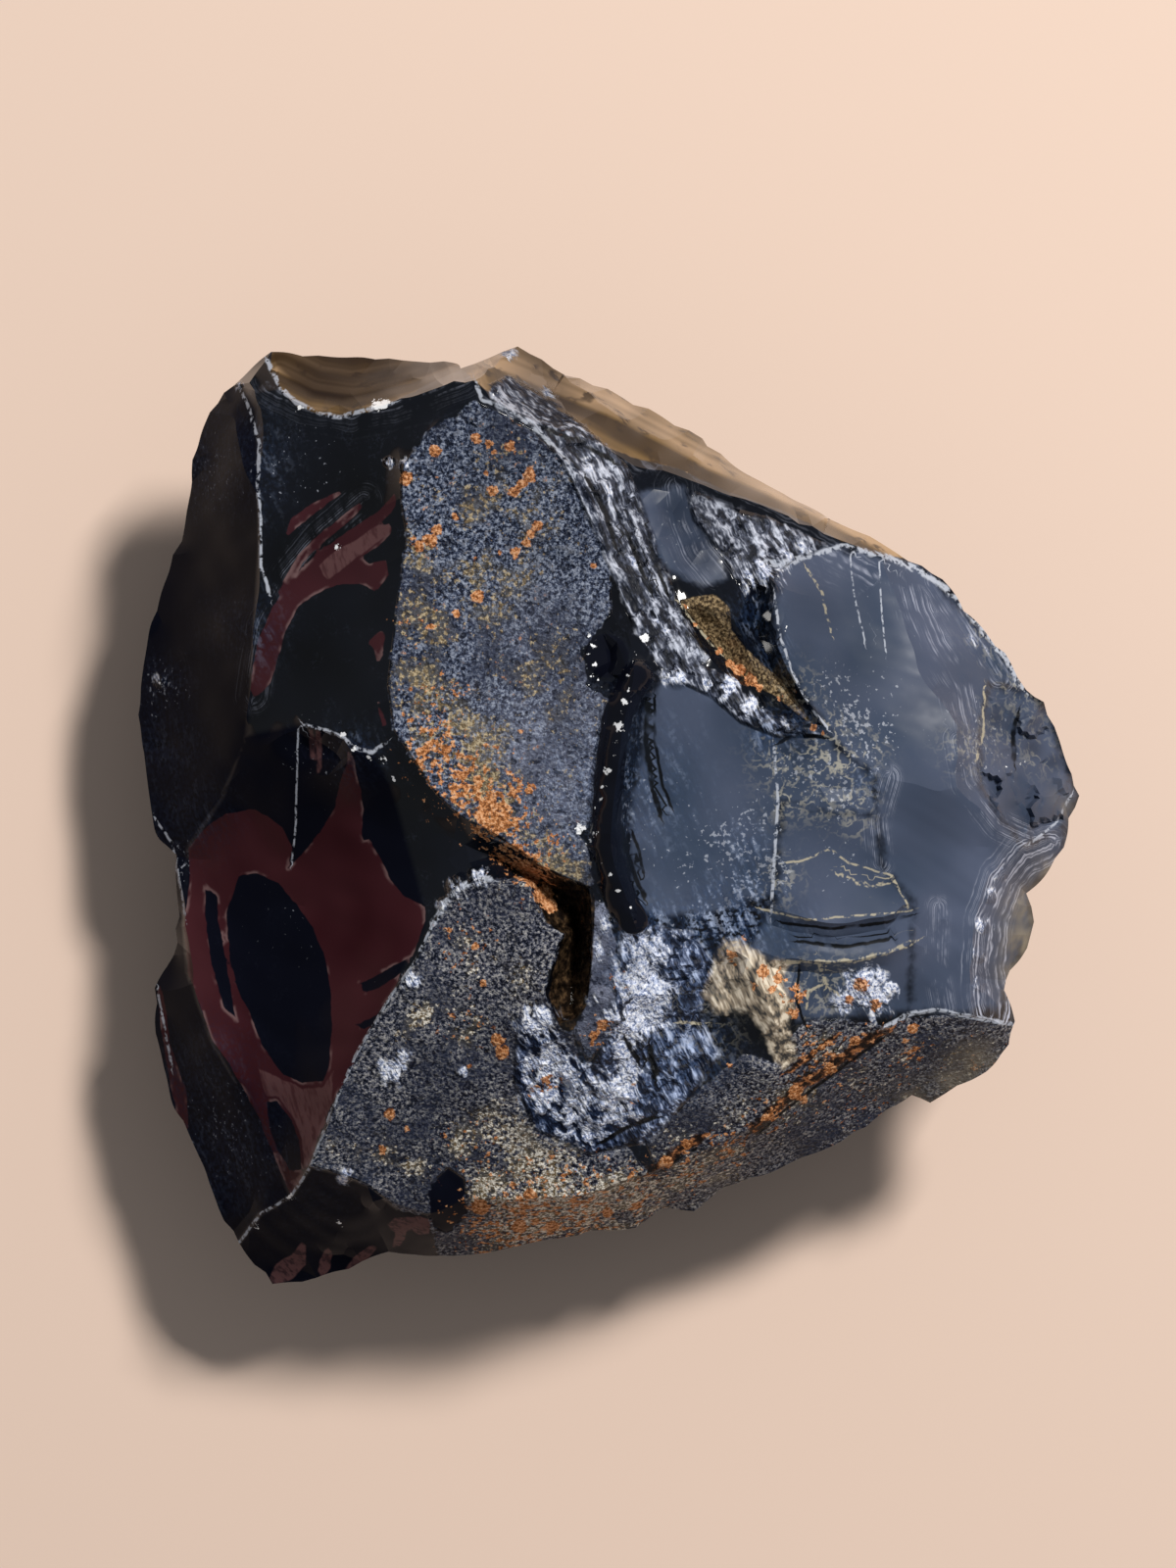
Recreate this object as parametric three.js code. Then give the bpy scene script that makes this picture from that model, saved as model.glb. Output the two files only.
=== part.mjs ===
// A hand-sized chunk of raw obsidian, lying on its one flat fracture face. +Z is up.
// The upper and lower skins are two sheets that meet along the sharp rim. Each sheet is held at its ridges
// and ledges, and sags between them as the shell-shaped scars of broken glass do.
import * as THREE from "three";
import { ImprovedNoise } from "three/addons/math/ImprovedNoise.js";

// Driving dimensions, in millimetres
const WIDTH = 76; // along X, over the rim
const HEIGHT = 38; // from the resting face to the top of the rolled ridge

// The points below are in plan units: the stone is this many units wide, deep and high
const PLAN_WIDTH = 96.7;
const PLAN_DEPTH = 96.2;
const PLAN_HEIGHT = 48.2;

// How finely the skins are divided, and how they curve, in plan units
const TOP_STEP = 1.75; // spacing of points on the upper skin
const BASE_STEP = 3.4; // spacing of points on the lower skin
const SCAR_CURVE = 0.045; // how strongly a glass scar is hollowed
const BASE_CURVE = 0.05;
const SHORTEST = 0.3; // no ridge is cut into pieces shorter than this
const EDGE_WOBBLE = 0.22; // how far a ridge strays sideways between its traced points
const RIND_RELIEF = 0.28; // height of the lumps on the weathered rind
const GLASS_RELIEF = 0.1;
const LUMP_SIZE = 4.5;
const RELAX_ROUNDS = 900;

// The corners that several ridges share, as [x, y, z]
const corner = {
  northWest: [-34.4, 47.6, 28.5],
  notch: [-15.0, 45.8, 33],
  north: [-9.2, 48.1, 31],
  goldStart: [-5.6, 45.9, 29.5],
  goldEnd: [25.3, 29.3, 29.5],
  northEast: [29.5, 27.0, 31],
  foldTop: [42.9, 13.0, 26.5],
  tip: [48.4, 2.2, 23],
  tipFoot: [47.3, -0.1, 23],
  southEast: [41.7, -20.9, 27],
  glossEnd: [-17.2, -45.1, 18.5],
  southWest: [-34.5, -48.1, 15.5],
  westFoot: [-37.9, -43.8, 18],
  flankFoot: [-44.3, -3.9, 18.5],
  west: [-48.3, 10.5, 16],
  shoulder: [-39.3, 43.5, 25],
  paleFork: [-22.1, 42.1, 40],
  crown: [-13.4, 44.4, 44],
  crestBend: [-11.8, 42.3, 44],
  crestEast: [28.0, 26.7, 33.4],
  knobTop: [0.1, 19.8, 46.5],
  knobEast: [2.5, 16.2, 47.2],
  knobFoot: [0.1, 11.9, 46.8],
  plateFoot: [-1.9, -7.2, 45.2],
  ridgeFoot: [2.9, -11.2, 44.6],
  bowlTop: [3.9, 11.8, 46.2],
  bowlShoulder: [6.2, 14.8, 46.5],
  bowlNorthEast: [17.0, 9.2, 45],
  bowlEast: [17.2, 1.9, 43.5],
  bowlSouthEast: [17.0, -7.9, 42.5],
  lipTop: [17.0, 23.7, 42.4],
  lipFoot: [21.9, 9.3, 44.6],
  fanTop: [27.2, 4.1, 43],
  fanWest: [27.3, 0.4, 42.4],
  fanHip: [31.0, -8.6, 39.3],
  fanCorner: [35.5, 3.1, 38.6],
  fanNorth: [38.1, 0.8, 36.4],
  fanEast: [42.5, -2.8, 31],
  fanFoot: [37.2, -20.2, 32.6],
  bandEast: [30.7, -20.0, 34.4],
  veinTop: [27.3, -21.5, 35.2],
  veinFoot: [4.3, -36.4, 30.2],
  foldHead: [11.9, -12.7, 42],
  foldTail: [19.2, -24.4, 36],
  stairHead: [31.1, -12.7, 38.2],
  plateNose: [-11.8, -6.2, 44.4],
  pitFoot: [-3.6, -21.8, 41.5],
  lowerPlateFoot: [-30.3, -35.6, 32.5],
  notchHead: [-18.4, -40.7, 28],
  streamFoot: [-32.4, -38.8, 27.4],
  ledgeStart: [-30.7, 9.4, 38.6],
  ledgeEnd: [-21.7, 8.9, 45],
  flankBend: [-39.0, 3.4, 28],
  arrisTop: [-35.7, 32.9, 35],
  arrisFoot: [-36.3, 15.4, 35],
};

// The sharp rim, clockwise from the north-west corner
const RIM = [
  "northWest", [-28.0, 47.1, 26], [-21.0, 46.8, 25.5], [-15.3, 46.7, 28], "notch", "north", "goldStart",
  [1.3, 43.1, 27.5], [9.7, 38.8, 26], [10.2, 38.0, 26], [15.5, 34.5, 26.5], [20.4, 31.9, 27.5], "goldEnd",
  "northEast", [32.1, 25.7, 30.5], [35.1, 23.4, 29.5], [36.4, 21.1, 28.8], [39.0, 18.5, 28], [41.3, 15.8, 27],
  "foldTop", [44.7, 11.8, 25.5], [45.8, 9.3, 24.5], [46.8, 6.3, 24], [47.6, 4.4, 23.5], "tip", "tipFoot",
  [46.8, -3.1, 23.5], [45.2, -5.6, 24.5], [42.9, -7.8, 25.5], [43.7, -10.7, 25], [43.0, -13.4, 25],
  [41.2, -15.7, 26], [40.6, -17.7, 26.5], "southEast", [41.1, -23.3, 25.5], [38.8, -26.1, 24.5],
  [33.1, -29.3, 23], [31.2, -28.5, 23.5], [28.6, -30.0, 23], [27.5, -30.9, 22.5], [24.3, -33.1, 22],
  [17.3, -36.3, 21], [12.0, -38.0, 20.5], [8.9, -40.5, 19.5], [5.3, -40.4, 19.5], [2.9, -42.2, 19],
  [-1.8, -42.5, 19], [-5.8, -43.4, 19], [-11.8, -44.7, 19], "glossEnd", [-22.5, -44.7, 18],
  [-26.6, -46.5, 17], [-29.9, -47.4, 16.5], "southWest", "westFoot", [-40.0, -40.3, 18], [-42.6, -33.7, 17],
  [-45.0, -29.0, 16], [-46.5, -22.3, 16], [-46.6, -17.6, 16.5], [-44.6, -14.2, 18], [-44.0, -10.2, 18.5],
  "flankFoot", [-46.3, -2.2, 17], [-46.8, -0.2, 17], [-47.7, 6.5, 16], "west", [-47.7, 15.9, 17],
  [-47.0, 19.9, 18], [-45.0, 25.3, 19], [-43.4, 30.0, 20], [-42.8, 33.3, 21], [-42.6, 36.7, 22],
  [-41.3, 40.4, 23], "shoulder",
];

// Ridges and ledges of the upper skin
const TOP_LINES = {
  scallopEdge: ["northWest", [-33.3, 43.7, 33], [-31.7, 42.3, 35], [-29.4, 41.2, 36.5], [-27.2, 40.7, 37.5],
    [-24.9, 41.7, 38.5], "paleFork", [-18.8, 43.1, 41.5], [-15.6, 44.3, 43], "crown"],
  paleBand: ["paleFork", [-18.6, 44.2, 38.5], "notch"],
  paleEnd: ["north", [-11.2, 46.2, 37], "crown"],
  crest: ["crown", "crestBend", [-8.5, 40.7, 43.5], [-4.0, 39.2, 42.5], [-0.1, 37.5, 41.5],
    [2.5, 35.8, 40.5], [7.1, 34.8, 39.5], [12.3, 32.8, 38.5], [17.1, 31.2, 37.5], [22.0, 28.9, 36],
    [25.0, 27.8, 34.8], "crestEast", "northEast"],
  goldArris: ["goldStart", [0.0, 41.7, 35.5], [6.0, 38.2, 34.5], [12.5, 34.7, 33.5], [19.0, 31.7, 32.5],
    "goldEnd"],
  plateWest: ["crown", [-18.0, 39.4, 44], [-20.9, 35.6, 44], [-21.0, 32.4, 44.2], [-20.4, 29.4, 44.3],
    [-21.3, 22.4, 44.5], [-22.3, 13.4, 44.8], "ledgeEnd", [-20.3, 6.8, 45], [-17.3, 2.3, 45.2],
    [-15.2, 0.3, 45.3], [-12.2, -1.3, 45.4], [-9.7, -2.8, 45.4], [-6.4, -5.0, 45.3], "plateFoot"],
  plateEast: ["crestBend", [-9.5, 39.4, 44.6], [-5.5, 37.1, 45], [-2.5, 34.3, 45.3], [-0.8, 30.4, 45.6],
    [0.2, 24.9, 46], "knobTop"],
  knob: ["knobTop", [2.0, 18.6, 47], "knobEast", [1.6, 13.4, 47], "knobFoot", [-1.8, 13.2, 46.5],
    [-2.3, 16.3, 46.5], [-1.6, 18.4, 46.5], "knobTop"],
  knobHollow: [[0.2, 16.9, 45.1], [0.0, 14.8, 45.1]],
  ridgeWest: ["knobFoot", [-0.7, 6.2, 46.6], [-0.9, 3.4, 46.5], [-1.4, 0.3, 46.3], [-2.6, -1.6, 46],
    [-1.7, -3.6, 45.9], [-0.4, -7.2, 45.6], [0.6, -10.2, 45], "ridgeFoot"],
  ridgeTop: ["knobEast", [2.4, 12.9, 48], [1.3, 7.4, PLAN_HEIGHT], [0.7, 2.4, 48], [0.3, -1.6, 47.7],
    [0.9, -5.6, 47], "ridgeFoot"],
  ridgeEast: ["bowlTop", [3.3, 7.4, 45.8], [2.4, 2.2, 45.4], [2.2, -0.9, 45], [2.7, -6.0, 44.7], "ridgeFoot"],
  bowl: ["bowlTop", "bowlShoulder", [8.1, 15.1, 46.3], [10.0, 14.5, 46], [12.9, 11.2, 45.5],
    "bowlNorthEast", [16.8, 7.0, 44.5], "bowlEast", [17.2, -3.6, 43], "bowlSouthEast", [13.3, -9.1, 42],
    [9.0, -10.1, 42.2], "ridgeFoot"],
  knobSpur: ["knobEast", "bowlShoulder"],
  bowlSpur: ["bowlNorthEast", "lipFoot"],
  lip: ["lipTop", [16.5, 20.0, 43.2], [18.3, 14.9, 44], "lipFoot", [23.8, 6.6, 44], "fanTop"],
  lipWall: ["lipTop", [15.5, 23.0, 40.6], [15.1, 19.5, 41.1], [16.9, 14.2, 42], [20.2, 9.9, 43.4]],
  chute: [[3.0, 33.2, 40.2], [8.0, 33.2, 39.2], [9.6, 29.4, 40.5], [11.5, 26.4, 41.5], [12.5, 24.4, 42],
    [10.0, 23.2, 43], [7.0, 24.4, 43.8], [4.5, 25.9, 43.6], [3.5, 29.4, 42.2], [3.0, 33.2, 40.2]],
  chuteFloor: [[6.6, 31.0, 39.4], [7.6, 27.6, 40.6]],
  cleft: [[7.3, 21.9, 44.2], [12.0, 20.9, 43.6], [14.0, 17.4, 43.2], [15.4, 12.8, 43.8], [13.2, 13.6, 45],
    [10.6, 15.8, 45.4], [8.4, 18.6, 45], [7.3, 21.9, 44.2]],
  cleftFloor: [[9.6, 19.9, 42.2], [12.2, 16.9, 42], [14.0, 14.2, 42.6]],
  swirl: ["crestEast", [30.2, 19.9, 36], [32.1, 13.9, 37.5], [35.5, 9.4, 38.2], "fanCorner"],
  fanHead: ["fanTop", [31.0, 3.5, 41.2], [33.5, 2.6, 40], "fanCorner", "fanNorth", [39.7, -1.3, 34.6],
    "fanEast", [45.4, -1.6, 26], "tipFoot"],
  fold: ["foldTop", [38.9, 12.3, 31], [38.0, 8.4, 33], [38.1, 4.6, 34.4], "fanNorth"],
  tipChip: [[41.7, 10.7, 28], [41.4, 7.3, 29], [41.2, 3.8, 30.2], [43.8, 1.8, 28.4], "tip"],
  fanRoll: ["fanEast", [38.8, -6.1, 34.6], [37.4, -10.6, 35], [36.9, -15.6, 34.4], "fanFoot"],
  fanHem: ["bandEast", [33.5, -19.5, 33.9], [35.8, -20.1, 33.2], "fanFoot", [39.9, -21.0, 29.8], "southEast"],
  fanSide: ["fanTop", "fanWest", [27.9, -5.1, 41], "fanHip"],
  scaleEdge: ["bowlEast", [20.0, 0.6, 43.7], [23.0, 0.4, 43.5], "fanWest"],
  upperStair: ["bowlSouthEast", [18.0, -9.6, 42], [23.0, -10.8, 41.6], [28.0, -10.1, 40.6], "fanHip"],
  upperStairFoot: [[16.8, -11.0, 40.8], [19.0, -11.7, 40.4], [23.0, -12.2, 40.1], [28.2, -11.4, 39.2],
    "fanHip"],
  lowerStair: [[17.7, -14.4, 40.4], [21.4, -14.6, 40.2], [25.5, -14.5, 39.8], [28.2, -13.9, 39.2],
    "stairHead"],
  lowerStairFoot: [[17.9, -15.6, 39.1], [21.4, -15.9, 38.8], [25.5, -15.8, 38.4], [28.6, -15.0, 37.9],
    "stairHead"],
  bandTop: ["bandEast", [28.7, -21.4, 35], "veinTop", [24.8, -20.6, 36.2], [21.0, -21.4, 37.2], "foldTail",
    [16.0, -26.0, 36.8], [13.3, -24.6, 37.4], [8.0, -28.8, 35.8], [4.0, -30.6, 35]],
  vein: ["veinTop", [23.8, -25.1, 33], [19.9, -27.8, 32.4], [16.5, -30.6, 32], [10.0, -33.8, 31.4],
    "veinFoot"],
  tanFold: ["foldHead", [14.2, -14.3, 42], [15.8, -17.8, 41.2], [17.0, -20.8, 39.8], "foldTail"],
  tanFoldFoot: [[9.5, -16.0, 40.2], [12.5, -19.5, 39.2], [15.0, -23.2, 37.6]],
  pitEast: ["plateFoot", [-1.6, -11.6, 44.4], [-1.9, -17.7, 43], "pitFoot"],
  pitWest: ["plateNose", [-8.2, -6.7, 44.2], [-7.3, -9.0, 44], [-5.7, -11.2, 43.6], [-4.5, -11.8, 43.4],
    [-5.4, -14.2, 43], [-6.4, -17.6, 42.6], [-5.0, -21.0, 41.9], "pitFoot"],
  pitFloor: [[-15.6, -2.2, 43.2], [-13.2, -3.4, 42.4], [-10.4, -4.7, 41.8], [-6.6, -6.7, 40.6],
    [-3.6, -8.6, 39.2], [-3.0, -12.0, 38.4], [-3.6, -16.0, 38.8], [-3.9, -19.4, 40]],
  ridgeSkirt: [[0.6, -10.2, 45], [0.9, -15.1, 43.6], [1.0, -20.6, 42]],
  lowerPlateWest: ["plateNose", [-14.0, -6.6, 43.8], [-16.5, -8.5, 43], [-17.9, -11.1, 42.4],
    [-19.6, -14.7, 41.5], [-22.1, -18.2, 40.4], [-25.6, -24.1, 38], [-27.8, -29.1, 36], "lowerPlateFoot"],
  lowerPlateHem: ["lowerPlateFoot", [-24.6, -37.5, 31], [-21.5, -39.6, 28.8], "notchHead",
    [-17.8, -42.9, 24], "glossEnd"],
  rindBrow: ["notchHead", [-14.0, -38.9, 29.8], [-8.0, -39.0, 30.2], [-2.0, -38.4, 30.4], "veinFoot"],
  slipper: ["shoulder", [-38.1, 42.0, 28.6], [-37.9, 39.2, 31], [-37.0, 35.2, 33.4], "arrisTop"],
  arris: ["northWest", [-36.6, 44.4, 30.5], [-35.4, 41.7, 33], [-35.2, 37.0, 34.6], "arrisTop",
    [-35.4, 28.0, 36], [-35.8, 21.4, 36], "arrisFoot", [-37.0, 9.4, 32.5], "flankBend", [-41.6, -0.6, 23],
    "flankFoot"],
  ledge: ["ledgeStart", [-28.6, 8.8, 40.2], [-26.8, 8.0, 41.6], [-25.9, 6.6, 42.6], [-24.0, 6.4, 43.6],
    "ledgeEnd"],
  ledgeFoot: [[-30.3, 7.9, 37], [-28.7, 7.3, 38.4], [-27.6, 6.5, 39.4], [-26.7, 5.1, 40.8],
    [-24.4, 4.8, 42.2]],
  ledgeTail: ["ledgeStart", [-34.0, 7.8, 35.2], "flankBend"],
  stream: ["flankFoot", [-43.0, -12.6, 22], [-42.1, -18.5, 23.5], [-40.6, -22.8, 25], [-38.7, -25.3, 26],
    [-36.5, -29.1, 26.6], [-34.6, -32.2, 27.2], [-33.4, -36.2, 27.4], "streamFoot", "lowerPlateFoot"],
  footRidge: ["streamFoot", [-35.6, -40.7, 23.5], "westFoot"],
};

// Plates of weathered rind stay flat between their edges, as [x, y] outlines
const RIND = {
  upperPlate: [[-13, 44], [-21, 35], [-22, 13], [-15, 0], [-2, -7], [-2, 0], [0, 20], [-1, 30], [-5, 37]],
  lowerPlate: [[-12, -6], [-5, -11], [-4, -21], [1, -10], [3, -36], [-10, -44], [-17, -44], [-30, -36],
    [-19, -14]],
  band: [[27, -21], [41, -21], [38, -26], [27, -31], [9, -40], [-12, -45], [-10, -38], [4, -30], [19, -24]],
};

// Crushed glass, as [x, y, radius, height of the splinters]
const CRUSHED = [
  [3.0, 29.5, 4.5, 0.55], [2.5, 22.5, 3.2, 0.45], [8.5, 19.0, 3.5, 0.4], [12.5, 28.5, 4.5, 0.55],
  [-3.5, 38.5, 3.0, 0.4], [21.5, 3.5, 4.5, 0.4], [8.0, -17.5, 5.5, 0.6], [3.5, -25.5, 5.5, 0.5],
  [15.0, -17.0, 4.0, 0.5], [43.5, 7.5, 4.5, 0.6], [-27.0, -42.0, 5.5, 0.5], [24.0, -19.0, 3.5, 0.5],
];

// Corners of the lower skin: the resting face, and the knees half way up
const foot = {
  northWest: [-25, 13, 0],
  north: [-9, 22, 0],
  northEast: [13, 18, 0],
  east: [27, 5, 0],
  southEast: [24, -13, 0],
  south: [7, -25, 0],
  southWest: [-16, -21, 0],
  west: [-30, -5, 0],
};
const knee = {
  northWest: [-35, 27, 7.5],
  north: [-20, 37, 7],
  northMiddle: [1, 35, 8],
  northEast: [21, 26, 9.5],
  east: [37, 13, 11.5],
  tip: [39.5, -3, 10],
  southEast: [34, -19, 10],
  south: [14, -32, 6],
  southMiddle: [-9, -37, 6.5],
  southWest: [-29, -37, 5],
  west: [-39.5, -22, 5.5],
  waist: [-42, 2, 5.5],
};
const BASE_LINES = {
  restingFace: [foot.northWest, foot.north, foot.northEast, foot.east, foot.southEast, foot.south,
    foot.southWest, foot.west, foot.northWest],
  northWestKeel: [foot.northWest, knee.northWest, [-43.4, 30.0, 20]],
  northKeel: [foot.north, knee.north, [-28.0, 47.1, 26]],
  northMiddleKeel: [foot.north, knee.northMiddle, [1.3, 43.1, 27.5]],
  northEastKeel: [foot.northEast, knee.northEast, [20.4, 31.9, 27.5]],
  eastKeel: [foot.east, knee.east, "foldTop"],
  tipKeel: [foot.east, knee.tip, [45.2, -5.6, 24.5]],
  southEastKeel: [foot.southEast, knee.southEast, "southEast"],
  southKeel: [foot.south, knee.south, [17.3, -36.3, 21]],
  southMiddleKeel: [foot.south, knee.southMiddle, [-5.8, -43.4, 19]],
  southWestKeel: [foot.southWest, knee.southWest, "southWest"],
  westKeel: [foot.west, knee.west, [-46.6, -17.6, 16.5]],
  waistKeel: [foot.west, knee.waist, "west"],
  northScar: [knee.northWest, [-27, 33, 5.2], knee.north],
  northEastScar: [knee.northMiddle, [11, 32.5, 8.5], knee.northEast],
  eastScar: [knee.east, [40, 5, 12], knee.tip],
  southEastScar: [knee.southEast, [25, -24, 6.5], knee.south],
  southScar: [knee.south, [2, -36, 7.2], knee.southMiddle],
  westScar: [knee.west, [-42.5, -10, 7], knee.waist],
  northWestScar: [knee.waist, [-40, 14, 6.5], knee.northWest],
};

const noise = new ImprovedNoise();
// A number from -0.5 to 0.5 that looks random and belongs to one place
function jitter(x, y, turn = 0) {
  const wave = Math.sin(x * 12.9898 + y * 78.233 + turn * 37.719) * 43758.5453;
  return wave - Math.floor(wave) - 0.5;
}

const placeOf = (item) => (typeof item === "string" ? corner[item] : item);

function insideOutline(x, y, outline) {
  let inside = false;
  for (let i = 0, j = outline.length - 1; i < outline.length; j = i, i += 1) {
    const [ax, ay] = outline[i];
    const [bx, by] = outline[j];
    if (ay > y !== by > y && x < ((bx - ax) * (y - ay)) / (by - ay) + ax) inside = !inside;
  }
  return inside;
}

// The points of a line, with more put between them so that none are further apart than step
function sampled(line, step) {
  const points = line.map(placeOf);
  const out = [points[0]];
  for (let i = 1; i < points.length; i += 1) {
    const a = new THREE.Vector3(...points[i - 1]);
    const b = new THREE.Vector3(...points[i]);
    const pieces = Math.ceil(a.distanceTo(b) / step);
    const side = new THREE.Vector3(a.y - b.y, b.x - a.x, 0).normalize();
    for (let k = 1; k < pieces; k += 1) {
      const p = a.clone().lerp(b, k / pieces);
      p.addScaledVector(side, 2 * EDGE_WOBBLE * jitter(p.x, p.y));
      out.push([p.x, p.y, p.z]);
    }
    out.push(points[i]);
  }
  return out;
}

// Delaunay triangles of [x, y] points, by adding them one at a time
function delaunay(points) {
  const far = 1000;
  const all = [...points, [-far, -far], [far, -far], [0, far]];
  const n = points.length;
  const circle = (a, b, c) => {
    const [ax, ay] = all[a];
    const [bx, by] = [all[b][0] - ax, all[b][1] - ay];
    const [cx, cy] = [all[c][0] - ax, all[c][1] - ay];
    const d = 2 * (bx * cy - by * cx);
    const ux = (cy * (bx * bx + by * by) - by * (cx * cx + cy * cy)) / d;
    const uy = (bx * (cx * cx + cy * cy) - cx * (bx * bx + by * by)) / d;
    return { corners: [a, b, c], x: ax + ux, y: ay + uy, r2: ux * ux + uy * uy };
  };
  let triangles = [circle(n, n + 1, n + 2)];
  for (let i = 0; i < n; i += 1) {
    const [x, y] = all[i];
    const open = new Map();
    const kept = [];
    for (const t of triangles) {
      if ((t.x - x) ** 2 + (t.y - y) ** 2 >= t.r2) {
        kept.push(t);
        continue;
      }
      for (let k = 0; k < 3; k += 1) {
        const [a, b] = [t.corners[k], t.corners[(k + 1) % 3]];
        const back = `${b},${a}`;
        if (open.has(back)) open.delete(back);
        else open.set(`${a},${b}`, [a, b]);
      }
    }
    for (const [a, b] of open.values()) kept.push(circle(a, b, i));
    triangles = kept;
  }
  return triangles.map((t) => t.corners).filter((t) => t.every((v) => v < n));
}

// One skin: fixed points along the rim and the lines, free points between them, and triangles over all
class Sheet {
  constructor(rim, lines, step) {
    this.points = rim.map((p) => [...p]);
    this.segments = [];
    this.known = new Map(rim.map((p, i) => [this.key(p), i]));
    for (const line of Object.values(lines)) {
      const points = sampled(line, step);
      for (let i = 1; i < points.length; i += 1) {
        this.segments.push([this.index(points[i - 1]), this.index(points[i])]);
      }
    }
    this.fixedCount = this.points.length;
    this.fill(rim, step);
    this.conform(rim);
  }

  key([x, y]) {
    return `${Math.round(x * 1000)},${Math.round(y * 1000)}`;
  }

  index(point) {
    const key = this.key(point);
    if (!this.known.has(key)) {
      this.known.set(key, this.points.length);
      this.points.push([...point]);
    }
    return this.known.get(key);
  }

  // Free points on a slightly shaken triangular grid, clear of the fixed ones
  fill(rim, step) {
    const clear = (0.62 * step) ** 2;
    const fixed = this.points.slice(0, this.fixedCount);
    this.free = [];
    const rows = Math.ceil(PLAN_DEPTH / (step * Math.sin(Math.PI / 3)));
    for (let row = 0; row <= rows; row += 1) {
      for (let x = -PLAN_WIDTH / 2 + (row % 2) * 0.5 * step; x < PLAN_WIDTH / 2; x += step) {
        const px = x + 0.3 * step * jitter(x, row, 1);
        const py = -PLAN_DEPTH / 2 + (row * PLAN_DEPTH) / rows + 0.3 * step * jitter(x, row, 2);
        if (!insideOutline(px, py, rim)) continue;
        if (fixed.some(([fx, fy]) => (fx - px) ** 2 + (fy - py) ** 2 < clear)) continue;
        this.free.push([px, py, 0]);
      }
    }
  }

  // Splits every line segment that the triangles don't follow, until they follow all of them
  conform(rim) {
    for (;;) {
      const all = [...this.points, ...this.free];
      this.triangles = delaunay(all).filter((t) => {
        const [x, y] = [0, 1].map((k) => (all[t[0]][k] + all[t[1]][k] + all[t[2]][k]) / 3);
        return insideOutline(x, y, rim);
      });
      this.edges = new Set();
      for (const [a, b, c] of this.triangles) {
        for (const [p, q] of [[a, b], [b, c], [c, a]]) this.edges.add(`${Math.min(p, q)},${Math.max(p, q)}`);
      }
      const missing = this.segments.filter(([a, b]) => !this.follows(a, b) && this.length(a, b) > SHORTEST);
      if (!missing.length) break;
      for (const segment of missing) {
        const [a, b] = segment;
        const middle = this.index(this.points[a].map((v, k) => (v + this.points[b][k]) / 2));
        this.segments.splice(this.segments.indexOf(segment), 1, [a, middle], [middle, b]);
      }
    }
    this.fixedCount = this.points.length;
    this.points.push(...this.free);
  }

  length(a, b) {
    return Math.hypot(...this.points[a].map((v, k) => v - this.points[b][k]));
  }

  follows(a, b) {
    return this.edges.has(`${Math.min(a, b)},${Math.max(a, b)}`);
  }

  // Lets the free points settle between the fixed ones, sagging by the curve of the place they are at
  relax(curve) {
    const near = this.points.map(() => new Set());
    for (const [a, b, c] of this.triangles) {
      for (const [p, q] of [[a, b], [b, c], [c, a]]) {
        near[p].add(q);
        near[q].add(p);
      }
    }
    const pulls = this.points.map(([x, y], i) => {
      const links = [...near[i]].map((j) => {
        const length = Math.hypot(this.points[j][0] - x, this.points[j][1] - y);
        return { j, length, weight: 1 / length };
      });
      const total = links.reduce((sum, l) => sum + l.weight, 0);
      const spread = links.reduce((sum, l) => sum + l.weight * l.length ** 2, 0) / total;
      return { links, total, sag: (curve(x, y) * spread) / 4 };
    });
    for (let round = 0; round < RELAX_ROUNDS; round += 1) {
      for (let i = this.fixedCount; i < this.points.length; i += 1) {
        const { links, total, sag } = pulls[i];
        this.points[i][2] = links.reduce((sum, l) => sum + l.weight * this.points[l.j][2], 0) / total - sag;
      }
    }
  }
}

const onRind = (x, y) => Object.values(RIND).some((outline) => insideOutline(x, y, outline));
const onFoot = (x, y) => insideOutline(x, y, Object.values(foot));

// The two skins over one rim. The rim is split where either of them doesn't follow it.
function makeSheets() {
  let rim = sampled([...RIM, RIM[0]], TOP_STEP).slice(0, -1);
  for (;;) {
    const top = new Sheet(rim, TOP_LINES, TOP_STEP);
    const base = new Sheet(rim, BASE_LINES, BASE_STEP);
    const split = [];
    rim.forEach((p, i) => {
      const next = (i + 1) % rim.length;
      split.push(p);
      if (!top.follows(i, next) || !base.follows(i, next)) split.push(p.map((v, k) => (v + rim[next][k]) / 2));
    });
    if (split.length === rim.length) return { rim, top, base };
    rim = split;
  }
}

// Lumps on the rind, slow waves on the glass, and splinters where the glass is crushed
function roughen(sheet) {
  for (let i = sheet.fixedCount; i < sheet.points.length; i += 1) {
    const [x, y] = sheet.points[i];
    const relief = onRind(x, y) ? RIND_RELIEF : GLASS_RELIEF;
    let lift = 2 * relief * noise.noise(x / LUMP_SIZE, y / LUMP_SIZE, 0.5);
    for (const [cx, cy, radius, height] of CRUSHED) {
      if (Math.hypot(x - cx, y - cy) < radius) lift += 2 * height * jitter(x, y, 3);
    }
    sheet.points[i][2] += lift;
  }
}

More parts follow.
